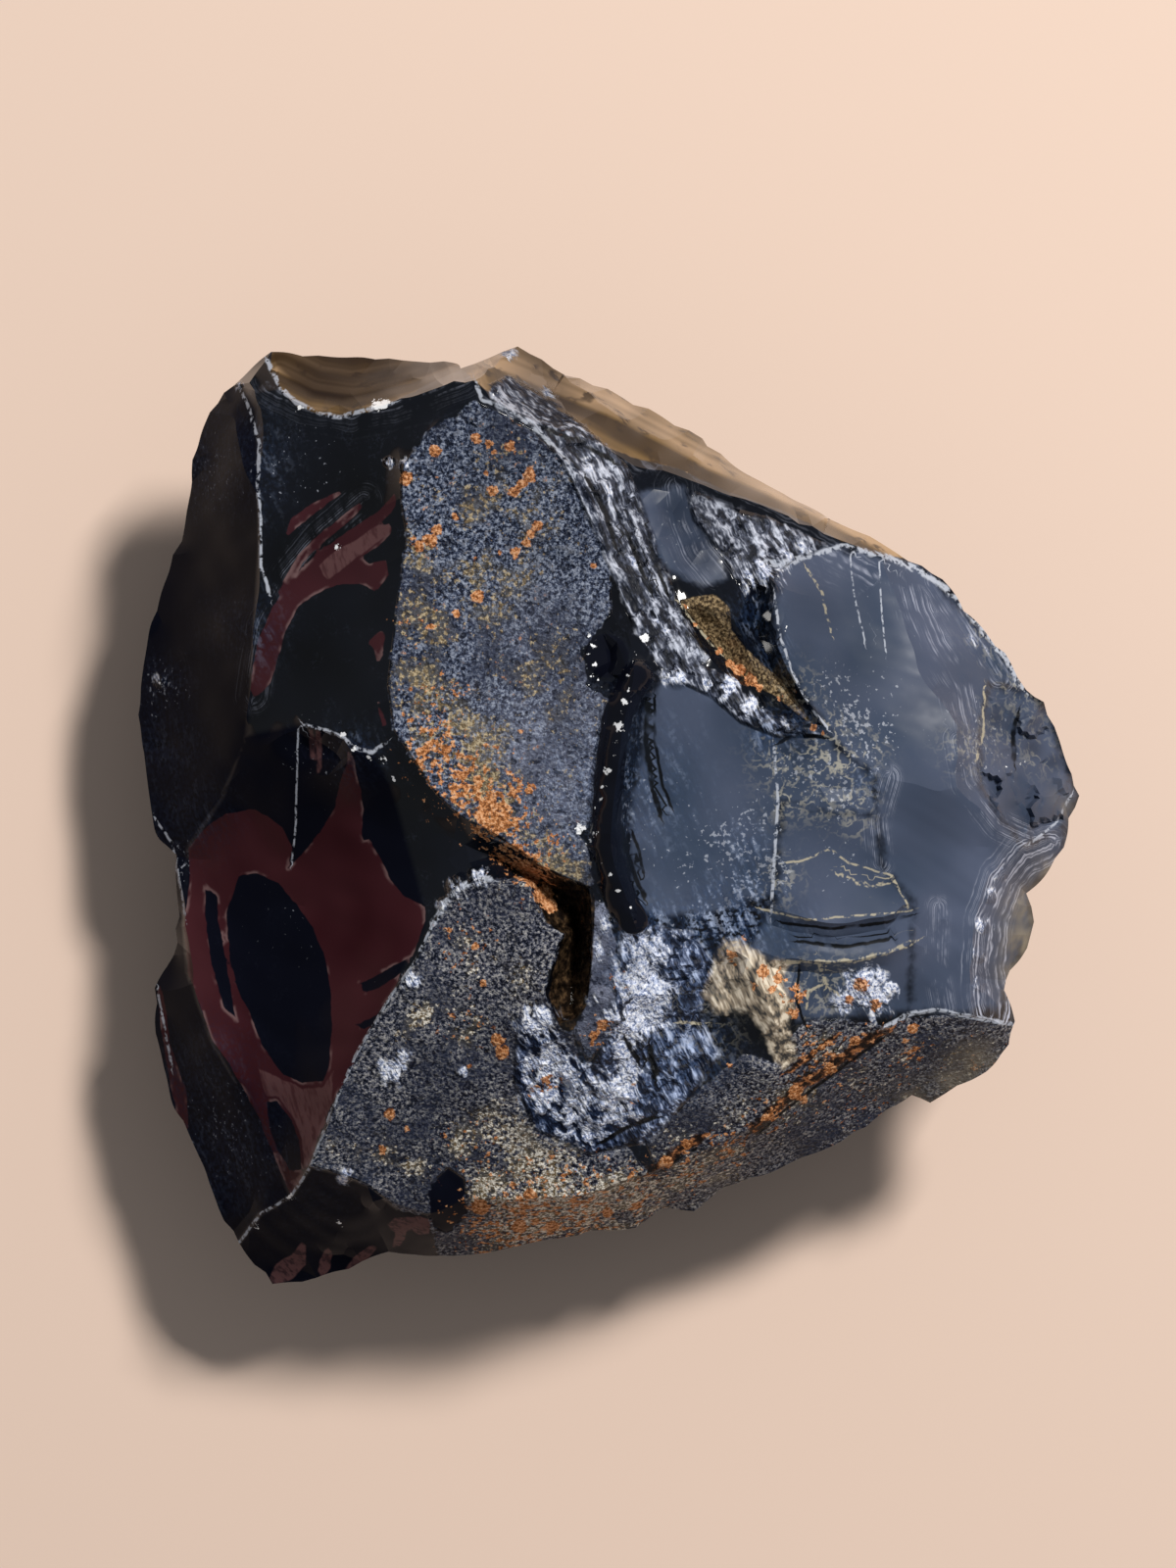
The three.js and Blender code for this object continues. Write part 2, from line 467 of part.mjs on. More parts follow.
// One closed body: both sheets share the points of the rim
function closedGeometry({ rim, top, base }) {
  const points = [...top.points, ...base.points.slice(rim.length)];
  const shift = top.points.length - rim.length;
  const index = [];
  const turnsLeft = ([a, b, c], p) =>
    (p[b][0] - p[a][0]) * (p[c][1] - p[a][1]) - (p[b][1] - p[a][1]) * (p[c][0] - p[a][0]) > 0;
  for (const t of top.triangles) index.push(...(turnsLeft(t, top.points) ? t : [t[0], t[2], t[1]]));
  for (const t of base.triangles) {
    const [a, b, c] = t.map((i) => (i < rim.length ? i : i + shift));
    index.push(...(turnsLeft(t, base.points) ? [a, c, b] : [a, b, c]));
  }
  const geometry = new THREE.BufferGeometry();
  geometry.setAttribute("position", new THREE.Float32BufferAttribute(points.flat(), 3));
  geometry.setIndex(index);
  geometry.scale(WIDTH / PLAN_WIDTH, WIDTH / PLAN_WIDTH, HEIGHT / PLAN_HEIGHT);
  geometry.computeBoundingBox();
  const middle = geometry.boundingBox.getCenter(new THREE.Vector3());
  geometry.translate(-middle.x, -middle.y, -geometry.boundingBox.min.z);
  geometry.computeVertexNormals();
  return geometry;
}

const sheets = makeSheets();
sheets.top.relax((x, y) => (onRind(x, y) ? 0 : SCAR_CURVE));
sheets.base.relax((x, y) => (onFoot(x, y) ? 0 : -BASE_CURVE));
roughen(sheets.top);
const obsidian = new THREE.Mesh(
  closedGeometry(sheets),
  new THREE.MeshStandardMaterial({ color: 0x14161b, roughness: 0.22, metalness: 0 }),
);
obsidian.name = "obsidian_chunk";

const chunk = new THREE.Group();
chunk.add(obsidian);

export default chunk;
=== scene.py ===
"""A chunk of raw obsidian on a pale floor, seen from straight above.

The stone's skin is cut finer from its solid, kept sharp along its arrises, and given the ripples, chips and
pits of broken glass. One material paints the rind, the rust, the frost and the painted red-brown reflections
by zones that are drawn on the stone's plan, with painted sheen, shade and glints.
"""

import math

import bpy
import numpy as np
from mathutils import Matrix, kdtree

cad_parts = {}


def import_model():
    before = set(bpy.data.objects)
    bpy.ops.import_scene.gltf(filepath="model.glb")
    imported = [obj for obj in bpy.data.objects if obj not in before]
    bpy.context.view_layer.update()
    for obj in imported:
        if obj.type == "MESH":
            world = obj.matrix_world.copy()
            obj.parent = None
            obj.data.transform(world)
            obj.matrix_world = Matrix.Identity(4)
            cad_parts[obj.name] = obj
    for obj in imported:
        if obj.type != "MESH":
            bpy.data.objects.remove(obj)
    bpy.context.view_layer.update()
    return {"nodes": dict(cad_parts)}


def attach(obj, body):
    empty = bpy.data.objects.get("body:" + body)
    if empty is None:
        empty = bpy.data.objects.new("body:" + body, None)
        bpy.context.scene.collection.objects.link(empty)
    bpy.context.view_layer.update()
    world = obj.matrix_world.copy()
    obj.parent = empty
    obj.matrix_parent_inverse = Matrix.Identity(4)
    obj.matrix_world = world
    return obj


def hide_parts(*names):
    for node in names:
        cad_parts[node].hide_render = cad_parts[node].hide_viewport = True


# The plan: places on it are pixels of the picture, and so are distances, where nothing else is said
FRAME_SIZE = (1200, 1600)
PLAN_ORIGIN = (620.5, 834.0)  # the pixel over the middle of the stone's box
PIXEL = 0.076 / 967  # metres
EYE_HEIGHT = 1.5  # metres
FOCUS_HEIGHT = 0.026  # metres up, where a pixel is PIXEL long

ARRIS_ANGLE = 15.0  # degrees: edges of the solid sharper than this stay sharp
CHIP_ANGLE = 26.0  # and so do edges sharper than this in the finished skin
CUTS = 2  # how many times each edge of the solid is halved
OUTSIDE = -20.0  # pixels: a depth that is well outside a zone
OFF_LINE = 9.0  # half widths: well off a line

# The studio, in metres: one square panel of light over a wide floor
KEY_PLACE = (0.32, 0.42, 0.72)
KEY_SIZE = 0.14
KEY_WATTS = 8.2
FLOOR_REACH = 3.0

# The relief: heights in millimetres, radii and the sizes of facets in pixels
RIM_FADE = 0.0015  # metres: the relief fades to nothing this near the rim
LUMP_HEIGHT = 0.10
BEAD_HEIGHT = 0.25
WAVE_HEIGHT = 0.03
CRACK_DEPTH = 0.14
ROPE_RADIUS = 16
ROPE_HEIGHT = 0.8
KNOB_RADIUS = 24
KNOB_HEIGHT = 0.7
SPLINTERS = [(0, 19, 0.34), (7.7, 11, 0.24)]  # (shift, size, height)
TIP_FACETS = [(0, 30, 1.1), (3.3, 15, 0.30)]

UPPER_PLATE = [
    (486, 413), (440, 440), (411, 478), (410, 510), (416, 550), (407, 610), (397, 700), (403, 745),
    (417, 766), (447, 811), (468, 831), (498, 847), (523, 862), (556, 886), (606, 907), (602, 870),
    (590, 851), (606, 831), (611, 800), (613, 772), (621, 715), (600, 700), (594, 671), (604, 648),
    (624, 630), (622, 585), (612, 530), (590, 480), (545, 445), (502, 420),
]
LOWER_PLATE = [
    (541, 894), (502, 896), (486, 894), (455, 919), (441, 945), (424, 981), (399, 1016), (364, 1075),
    (342, 1125), (317, 1190), (345, 1197), (374, 1209), (405, 1234), (436, 1241), (442, 1262), (448, 1290),
    (502, 1290), (602, 1270), (660, 1262), (720, 1247), (800, 1205), (870, 1175), (932, 1130), (1008, 1102),
    (1040, 1060), (1037, 1043), (1019, 1044), (978, 1037), (927, 1036), (905, 1052), (868, 1044), (830, 1052),
    (812, 1078), (780, 1118), (720, 1163), (663, 1198), (640, 1170), (600, 1120), (585, 1056), (570, 1045),
    (556, 1010), (567, 976), (577, 951), (564, 947), (549, 921),
]
VEIN_BANK = [
    (735, 1092), (760, 1075), (790, 1085), (812, 1050), (830, 1040), (868, 1040), (905, 1048), (870, 1075),
    (836, 1101), (800, 1136), (770, 1153), (740, 1170), (700, 1180), (670, 1195), (658, 1165), (700, 1125),
]
PIT_STRIP = [
    (606, 907), (604, 950), (601, 1011), (587, 1050), (600, 1085), (630, 1045), (628, 985), (625, 937),
]
SATIN = {
    "bowl": [
        (659, 716), (682, 686), (720, 690), (745, 722), (790, 742), (840, 745), (797, 815), (792, 870),
        (790, 913), (753, 925), (710, 935), (651, 934), (644, 890), (640, 843), (644, 812), (654, 770),
    ],
    "fan": [
        (790, 560), (830, 556), (900, 566), (941, 577), (984, 623), (1020, 660), (1049, 704), (1010, 700),
        (1000, 750), (1000, 800), (1020, 830), (1045, 862), (1092, 840), (1088, 870), (1049, 912),
        (1057, 950), (1032, 991), (1024, 1030), (978, 1035), (927, 1034), (930, 920), (899, 885), (893, 830),
        (892, 793), (858, 768), (840, 741), (803, 685), (790, 635),
    ],
    "scales": [
        (797, 815), (850, 830), (893, 830), (899, 885), (930, 920), (931, 961), (927, 1034), (868, 1040),
        (812, 1040), (780, 1000), (762, 965), (792, 913),
    ],
    "crumpled": [
        (788, 745), (812, 742), (840, 745), (858, 768), (892, 793), (893, 832), (850, 832), (795, 817),
    ],
    "tip": [
        (1008, 698), (1049, 704), (1075, 735), (1092, 790), (1100, 812), (1092, 842), (1045, 864),
        (1018, 832), (998, 800), (998, 750),
    ],
    "chute": [
        (650, 500), (700, 495), (715, 540), (735, 570), (745, 590), (720, 600), (690, 590), (665, 575),
        (655, 540),
    ],
}
# Painted reflections: red-brown shapes mirrored in the black glass of the west flank
RED_REFLECTION = {
    "streak": [
        (292, 545), (297, 530), (319, 514), (347, 502), (350, 504), (330, 519), (311, 533), (295, 547),
    ],
    "thin_streak": [
        (374, 510), (364, 517), (345, 532), (323, 549), (304, 568), (292, 588), (283, 607), (289, 607),
        (300, 588), (316, 567), (335, 551), (354, 535), (369, 521),
    ],
    "sweep": [
        (404, 504), (392, 519), (369, 535), (345, 550), (326, 564), (307, 583), (290, 602), (276, 626),
        (265, 650), (259, 673), (256, 702), (259, 711), (266, 707), (276, 697), (283, 673), (292, 645),
        (304, 621), (321, 607), (345, 597), (369, 597), (385, 604), (397, 588), (395, 573), (378, 576),
        (369, 569), (388, 559), (400, 545), (400, 536), (388, 538), (404, 519), (406, 507),
    ],
    "drop": [(376, 657), (388, 645), (394, 645), (392, 669), (387, 676), (383, 664)],
    "splinter": [(385, 716), (390, 716), (396, 740), (392, 742)],
    "lobe": [
        (189, 866), (210, 842), (232, 830), (257, 826), (273, 833), (288, 845), (298, 866), (293, 886),
        (309, 871), (331, 843), (342, 822), (347, 799), (354, 784), (357, 766), (362, 774), (367, 797),
        (371, 822), (370, 858), (377, 856), (390, 879), (398, 896), (411, 914), (434, 924), (435, 940),
        (423, 972), (403, 1008), (385, 1035), (354, 1100), (333, 1137), (317, 1184), (296, 1222), (282, 1190),
        (262, 1140), (233, 1087), (214, 1062), (199, 1019), (189, 993), (185, 942), (191, 904),
    ],
    "sliver": [
        (156, 1011), (161, 1008), (172, 1074), (187, 1116), (190, 1158), (179, 1153), (169, 1105),
        (161, 1053),
    ],
}
# Gaps in the painted red-brown reflections
RED_REFLECTION_GAPS = {
    "oval": [
        (242, 894), (260, 891), (283, 901), (303, 924), (319, 947), (331, 975), (337, 1006), (339, 1044),
        (336, 1090), (330, 1103), (308, 1105), (289, 1097), (267, 1069), (255, 1037), (242, 1012), (233, 981),
        (229, 935),
    ],
    "blade": [
        (207, 904), (219, 915), (221, 940), (229, 981), (236, 1020), (240, 1042), (227, 1030), (214, 985),
        (208, 942),
    ],
    "small_oval": [
        (271, 1125), (282, 1124), (296, 1142), (305, 1165), (308, 1194), (296, 1196), (283, 1176),
        (273, 1150),
    ],
    "slot": [
        (367, 1003), (382, 997), (403, 984), (421, 975), (416, 987), (403, 997), (387, 1008), (372, 1012),
    ],
    "lower_slot": [(361, 1046), (377, 1039), (394, 1030), (387, 1041), (372, 1050)],
}
# Paler painted reflections: blades and splinters on the west flank, and pinkish arcs on the broken steps
PALE_RED_REFLECTION = {
    "blade": [
        (330, 588), (326, 578), (345, 561), (369, 550), (388, 536), (400, 538), (397, 547), (378, 561),
        (354, 578), (335, 592),
    ],
    "hem": [
        (262, 1090), (289, 1103), (308, 1111), (330, 1109), (341, 1092), (338, 1130), (322, 1172),
        (304, 1212), (294, 1208), (311, 1196), (308, 1163), (298, 1139), (283, 1119), (270, 1120),
    ],
    "left_splinter": [(316, 745), (320, 745), (322, 776), (317, 774)],
    "right_splinter": [(323, 745), (328, 745), (329, 784), (324, 790)],
    "first_arc": [
        (269, 1313), (279, 1295), (295, 1284), (306, 1271), (311, 1274), (309, 1295), (298, 1308),
        (279, 1316),
    ],
    "second_arc": [(322, 1305), (324, 1289), (332, 1276), (337, 1282), (335, 1297), (327, 1308)],
    "third_arc": [(348, 1303), (358, 1287), (377, 1274), (385, 1276), (372, 1289), (358, 1300)],
    "fourth_arc": [
        (393, 1253), (403, 1245), (427, 1242), (440, 1247), (437, 1261), (427, 1263), (416, 1255),
        (408, 1274), (398, 1276), (403, 1261),
    ],
}
# Painted reflection: the warm floor, mirrored golden-brown in the thin upper flanks
GOLDEN_REFLECTION = {
    "scallop": [
        (276, 352), (340, 355), (467, 360), (486, 370), (440, 392), (408, 408), (376, 422), (349, 426),
        (322, 422), (304, 415), (290, 401), (276, 381),
    ],
    "strip": [
        (467, 372), (520, 345), (560, 350), (730, 440), (880, 530), (925, 570), (905, 566), (860, 553),
        (800, 522), (743, 503), (690, 478), (650, 470), (619, 458), (585, 436), (545, 428), (512, 411),
        (486, 392),
    ],
}
DULL = {
    "west_face": [
        (225, 815), (250, 750), (313, 738), (350, 750), (382, 768), (400, 800), (434, 924), (435, 945),
        (342, 1125), (296, 1222), (214, 1062), (189, 993), (185, 942), (189, 866),
    ],
    "scallop": [
        (270, 345), (467, 355), (474, 370), (430, 388), (385, 403), (350, 410), (320, 405), (296, 390),
        (276, 370),
    ],
    "rim": [
        (200, 340), (249, 394), (262, 417), (264, 464), (266, 554), (262, 620), (256, 718), (250, 760),
        (225, 815), (189, 866), (185, 942), (189, 993), (214, 1062), (262, 1140), (296, 1222), (264, 1241),
        (241, 1272), (260, 1400), (100, 1400), (60, 800), (100, 500),
    ],
    "broken_steps": [
        (241, 1272), (264, 1241), (296, 1222), (317, 1190), (345, 1197), (374, 1209), (405, 1234),
        (438, 1210), (457, 1192), (473, 1203), (480, 1240), (470, 1290), (450, 1320), (300, 1400),
        (240, 1330),
    ],
}
NOTCH = [(438, 1210), (457, 1192), (473, 1203), (477, 1237), (457, 1262), (440, 1252)]
# The pit: brown rind under painted shadow
PIT = [
    (543, 880), (566, 888), (597, 905), (607, 923), (605, 970), (599, 1023), (583, 1053), (573, 1049),
    (560, 1014), (570, 970), (577, 953), (557, 940), (549, 918),
]
GULLY = [
    (694, 615), (707, 610), (728, 608), (743, 621), (746, 643), (759, 661), (778, 680), (796, 695),
    (815, 722), (832, 744), (812, 728), (793, 713), (769, 699), (748, 684), (733, 665), (711, 639),
]
BLADE = [
    (769, 604), (781, 602), (785, 610), (787, 639), (800, 673), (807, 687), (837, 743), (826, 743),
    (811, 721), (793, 687), (778, 665), (759, 654), (753, 643), (756, 624),
]
CRUSHED = {
    "ridge": [
        (500, 395), (520, 385), (560, 408), (600, 440), (638, 476), (655, 515), (675, 570), (693, 621),
        (722, 673), (700, 690), (680, 690), (650, 650), (625, 590), (600, 530), (575, 475), (545, 440),
        (505, 418),
    ],
    "saddle": [
        (700, 500), (722, 508), (748, 520), (785, 530), (822, 548), (845, 557), (805, 577), (780, 595),
        (760, 597), (748, 590), (738, 569), (722, 547), (707, 532),
    ],
    "heart": [
        (634, 952), (665, 944), (705, 950), (733, 985), (715, 1035), (735, 1075), (702, 1122), (662, 1165),
        (600, 1178), (545, 1152), (524, 1100), (528, 1040), (550, 1026), (574, 1062), (600, 1092),
        (622, 1052), (629, 1000),
    ],
    "bowl_lip": [
        (665, 690), (690, 672), (705, 675), (735, 690), (765, 716), (800, 737), (830, 746), (838, 752),
        (790, 752), (755, 738), (725, 712), (700, 700),
    ],
}
TAN_FOLD = [
    (736, 958), (753, 960), (783, 977), (803, 983), (799, 1005), (812, 1027), (803, 1044), (812, 1079),
    (797, 1092), (779, 1057), (766, 1030), (733, 1033), (716, 1014), (728, 983),
]
RIDGE_PATH = [
    (650, 692), (640, 708), (630, 730), (625, 760), (621, 800), (619, 840), (620, 866), (627, 896),
    (636, 920), (646, 938),
]
KNOB = [(619, 670), (619, 670)]  # a path of no length
# The lower skin on the same plan: where blows fell on it, as (x, y, ripple), its zones and its dust
HIDDEN_BLOWS = [
    (250, 420, 40), (700, 330, 46), (1080, 640, 36), (1040, 1120, 42), (480, 1330, 38), (150, 900, 34),
]
HIDDEN_RIND = [(300, 720), (520, 610), (700, 640), (640, 900), (520, 1080), (420, 1060), (320, 900)]
HIDDEN_SATIN = [(700, 640), (960, 560), (1100, 760), (1040, 1000), (860, 1100), (800, 900)]
HIDDEN_DUST = {"pale_grit": 0.1, "fleck": 0.1}

# Soft spots as (x, y, radius, strength). These say how thickly something is strewn
RUST_SPOTS = [
    (505, 832, 28, 1.0), (475, 800, 32, 0.8), (445, 765, 28, 0.75), (525, 815, 26, 0.6), (450, 720, 34, 0.42),
    (500, 760, 45, 0.25), (440, 545, 22, 0.35), (520, 470, 50, 0.18), (470, 500, 40, 0.2),
    (430, 640, 26, 0.3), (520, 660, 80, 0.12), (545, 890, 22, 0.8), (525, 870, 20, 0.8), (570, 860, 20, 0.4),
    (475, 1040, 24, 0.35), (540, 1240, 50, 0.62), (590, 1235, 45, 0.56), (500, 1255, 40, 0.52),
    (650, 1225, 36, 0.46), (480, 1175, 30, 0.35), (700, 1195, 26, 0.45), (745, 1170, 24, 0.5),
    (835, 1072, 22, 0.6), (785, 1135, 24, 0.45), (890, 1060, 18, 0.4), (930, 1072, 14, 0.5),
    (1000, 1080, 30, 0.25), (930, 1090, 50, 0.2), (870, 1120, 45, 0.25), (748, 975, 16, 0.4),
    (780, 1000, 16, 0.5), (808, 1015, 14, 0.6), (612, 1053, 14, 0.5), (557, 1108, 14, 0.6),
    (480, 960, 30, 0.3), (620, 1010, 30, 0.15), (640, 1120, 24, 0.2),
]
CREAM_SPOTS = [
    (430, 560, 34, 0.55), (440, 640, 45, 0.5), (430, 700, 40, 0.6), (470, 760, 50, 0.7), (500, 810, 40, 0.8),
    (540, 845, 45, 0.6), (575, 880, 40, 0.6), (590, 800, 34, 0.35), (560, 700, 60, 0.45), (500, 600, 60, 0.5),
    (530, 520, 60, 0.45), (470, 520, 40, 0.5), (560, 490, 30, 0.25), (440, 505, 20, 0.5),
    (427, 1035, 14, 1.0), (407, 1058, 10, 0.8), (418, 1190, 14, 0.9), (390, 1180, 22, 0.5),
    (480, 1045, 26, 0.6), (485, 975, 26, 0.5), (530, 1000, 34, 0.35), (470, 1167, 24, 0.7),
    (520, 1160, 36, 0.9), (560, 1200, 50, 0.95), (540, 1240, 50, 1.0), (490, 1215, 30, 0.9),
    (600, 1230, 50, 0.95), (650, 1215, 40, 0.9), (700, 1195, 34, 0.8), (740, 1185, 30, 0.6),
    (355, 1175, 22, 0.5), (760, 1150, 34, 0.5), (810, 1120, 34, 0.5), (900, 1090, 60, 0.35),
    (980, 1080, 44, 0.3), (840, 1070, 22, 0.6), (740, 1010, 20, 0.4),
]
FLECK_SPOTS = [
    (740, 862, 34, 0.6), (770, 835, 28, 0.5), (700, 880, 26, 0.4), (790, 885, 22, 0.7), (760, 905, 24, 0.7),
    (735, 935, 28, 0.8), (870, 735, 24, 0.7), (850, 700, 24, 0.5), (885, 765, 22, 0.6), (905, 745, 20, 0.45),
    (820, 782, 34, 0.5), (862, 810, 26, 0.55), (690, 800, 44, 0.2), (900, 700, 40, 0.25), (850, 880, 30, 0.3),
    (665, 965, 24, 0.7), (700, 975, 20, 0.5), (330, 770, 40, 0.25), (300, 480, 60, 0.2), (160, 700, 24, 0.5),
    (210, 480, 40, 0.3), (240, 640, 40, 0.1), (230, 1160, 50, 0.3), (290, 930, 60, 0.15),
    (900, 630, 60, 0.15), (1000, 760, 40, 0.4), (700, 545, 30, 0.3), (625, 830, 60, 0.35),
    (612, 670, 26, 0.4), (190, 880, 20, 0.5),
]
# White spots: mostly crushed white powder; those along the curled sheet at the east edge and the two on the
# fan above it are painted highlights
WHITE_SPOTS = [
    (655, 1005, 24, 1.2), (648, 1040, 22, 1.2), (640, 1068, 14, 1.0), (662, 968, 18, 0.85),
    (680, 1012, 14, 0.8), (692, 962, 12, 0.6), (597, 1112, 24, 0.95), (622, 1130, 24, 0.85),
    (600, 1152, 20, 0.7), (548, 1050, 20, 0.8), (560, 1085, 24, 0.95), (556, 1120, 20, 0.75),
    (535, 1038, 12, 0.6), (578, 1142, 20, 0.7), (645, 1150, 16, 0.6), (620, 1185, 14, 0.5),
    (590, 1200, 12, 0.45), (400, 1092, 12, 1.0), (412, 1078, 7, 0.9), (422, 1000, 8, 1.0),
    (470, 1093, 5, 0.8), (353, 1200, 7, 0.7), (882, 1010, 20, 0.9), (898, 1030, 12, 0.8),
    (862, 1026, 12, 0.8), (906, 1010, 10, 0.6), (470, 905, 12, 0.9), (488, 895, 9, 1.0), (455, 922, 7, 0.7),
    (640, 1100, 14, 0.8), (662, 1128, 8, 0.6), (695, 1092, 8, 0.5), (486, 432, 5, 0.8), (417, 478, 7, 0.7),
    (398, 473, 5, 0.8), (562, 398, 9, 0.5), (520, 362, 7, 0.6), (782, 590, 18, 0.7), (765, 595, 12, 0.7),
    (810, 565, 16, 0.6), (690, 690, 12, 0.7), (720, 698, 10, 0.6), (600, 470, 14, 0.4), (648, 575, 14, 0.5),
    (625, 505, 12, 0.4), (672, 640, 12, 0.5), (742, 702, 12, 0.7), (772, 722, 12, 0.65), (800, 738, 10, 0.6),
    (1040, 1046, 8, 0.6), (1022, 893, 9, 0.40), (1010, 915, 9, 0.45), (1003, 945, 9, 0.5), (999, 975, 9, 0.5),
    (999, 1005, 9, 0.45), (611, 940, 14, 0.4), (613, 975, 14, 0.4), (613, 1012, 14, 0.45),
    (1000, 660, 16, 0.35), (985, 690, 12, 0.3), (242, 392, 5, 0.6), (160, 695, 7, 0.6), (655, 1185, 10, 0.4),
]
# and these stand where they are drawn
BEADS = [
    (486, 449, 6, 1.0), (500, 456, 5, 1.0), (505, 464, 4, 0.9), (521, 457, 6, 1.0), (444, 462, 7, 1.0),
    (416, 490, 7, 1.1), (541, 487, 7, 1.1), (532, 496, 6, 1.1), (525, 505, 6, 1.0), (503, 504, 6, 1.0),
    (466, 529, 5, 1.0), (447, 542, 6, 1.0), (440, 553, 7, 1.1), (428, 559, 7, 0.9), (550, 538, 6, 1.0),
    (542, 547, 5, 0.9), (537, 555, 5, 1.0), (526, 566, 6, 1.0), (510, 566, 4, 0.8), (487, 610, 7, 1.1),
    (485, 572, 4, 0.8), (467, 627, 5, 0.9), (441, 640, 5, 0.9), (606, 579, 4, 0.9), (497, 485, 4, 0.8),
    (493, 1003, 5, 1.0), (398, 1137, 6, 1.0), (415, 1152, 4, 0.9), (390, 1174, 5, 1.0), (485, 965, 5, 0.9),
    (507, 1060, 7, 1.1), (513, 1073, 7, 1.1), (480, 1087, 4, 0.8), (490, 1233, 9, 1.1), (530, 1254, 8, 1.1),
    (563, 1254, 8, 1.0), (615, 1045, 6, 1.1), (606, 1056, 6, 1.0), (604, 1064, 4, 0.9), (555, 912, 9, 1.3),
    (561, 924, 7, 1.2), (544, 896, 8, 1.2), (535, 884, 8, 1.1), (746, 975, 7, 0.8), (778, 990, 7, 1.0),
    (793, 998, 6, 1.0), (810, 1033, 6, 1.0), (787, 1010, 5, 0.9), (932, 1050, 6, 1.0), (924, 1062, 4, 0.9),
    (872, 1062, 6, 1.1), (848, 1090, 7, 1.0), (826, 1098, 4, 1.0), (812, 1116, 8, 1.1), (786, 1140, 6, 1.0),
    (822, 1122, 5, 0.9), (838, 1068, 5, 1.0), (744, 1086, 4, 1.0), (702, 1168, 6, 1.0), (680, 1186, 7, 1.1),
    (878, 1004, 9, 0.9), (893, 1024, 7, 0.9), (866, 1020, 5, 0.9), (698, 620, 3, 0.9), (709, 638, 3, 0.9),
    (722, 652, 3, 0.9), (733, 665, 4, 1.0), (744, 678, 5, 1.1), (754, 684, 6, 1.2), (765, 694, 6, 1.2),
    (774, 702, 4, 1.1), (795, 712, 4, 0.9), (829, 742, 4, 1.0), (836, 600, 3, 0.7), (838, 748, 4, 0.8),
    (540, 1219, 8, 0.9), (620, 1240, 7, 0.9), (650, 1232, 6, 0.9), (585, 1225, 6, 0.9),
]
# Painted highlights: white glints on the rope, the knob and the arrises
GLINTS = [
    (637, 717, 4, 1.2), (631, 742, 5, 1.3), (627, 757, 3, 1.0), (620, 787, 4, 1.2), (613, 815, 3, 1.0),
    (606, 660, 3, 1.2), (605, 680, 4, 1.2), (610, 695, 3, 1.0), (657, 652, 5, 1.3), (592, 846, 6, 1.2),
    (600, 858, 4, 1.1), (612, 880, 3, 1.0), (606, 850, 4, 1.2), (598, 868, 3, 1.1), (607, 835, 3, 1.1),
    (601, 650, 3, 1.1), (600, 668, 3, 1.0), (603, 690, 3, 1.1), (614, 703, 3, 1.0), (641, 706, 3, 1.0),
    (626, 772, 3, 1.0), (616, 802, 3, 1.0), (608, 822, 3, 0.9), (622, 892, 3, 1.0), (631, 908, 3, 0.9),
    (634, 728, 3, 1.0), (640, 690, 3, 1.0), (650, 668, 4, 1.1), (642, 925, 3, 0.9), (386, 415, 6, 1.4),
    (394, 413, 5, 1.3), (307, 417, 4, 1.1), (346, 560, 4, 1.0), (352, 750, 4, 1.1), (362, 764, 4, 1.1),
    (378, 772, 4, 0.9), (392, 775, 5, 1.1), (404, 795, 4, 0.9), (159, 697, 4, 0.9), (260, 1253, 4, 1.0),
    (295, 1222, 4, 1.1), (345, 1250, 4, 0.9), (505, 403, 4, 1.0), (800, 643, 3, 0.9), (1045, 778, 4, 0.8),
    (1028, 783, 3, 0.8), (452, 925, 4, 1.0),
]
# and these tint what lies under them
# Blue tint on crushed glass and dusty facets; the two spots on the blade by the gully are a painted sheen
HAZE_AND_SHEEN_SPOTS = [
    (745, 935, 30, 0.95), (722, 950, 28, 0.9), (765, 905, 24, 0.6), (760, 868, 26, 0.35), (655, 950, 26, 0.9),
    (700, 1078, 30, 1.0), (672, 1100, 22, 0.8), (592, 1100, 16, 0.7), (690, 1000, 30, 0.6),
    (640, 985, 20, 0.7), (360, 775, 20, 0.6), (610, 1140, 30, 0.5), (560, 1140, 30, 0.4),
    (230, 1180, 50, 0.7), (210, 470, 44, 0.7), (200, 1100, 40, 0.6), (165, 760, 34, 0.6), (165, 700, 24, 0.6),
    (190, 830, 34, 0.6), (238, 640, 30, 0.4), (770, 628, 16, 0.5), (790, 668, 14, 0.45), (785, 748, 16, 0.9),
    (815, 746, 16, 0.9), (880, 800, 14, 0.5), (800, 950, 30, 0.25), (320, 1220, 40, 0.2), (625, 800, 60, 0.4),
]
CRUMPLE_SPOTS = [
    (800, 772, 24, 0.9), (830, 772, 24, 1.0), (858, 786, 20, 1.0), (872, 815, 16, 0.9), (803, 815, 18, 0.7),
    (835, 812, 22, 0.6), (845, 745, 14, 0.9), (795, 900, 18, 0.6), (845, 1010, 26, 0.6), (812, 1000, 20, 0.5),
    (870, 840, 14, 0.6), (880, 765, 16, 0.7), (985, 765, 20, 0.5), (1035, 740, 30, 0.4), (1010, 650, 20, 0.4),
    (1040, 700, 18, 0.5), (1062, 770, 16, 0.5), (815, 705, 20, 0.5), (700, 1040, 40, 0.35),
]
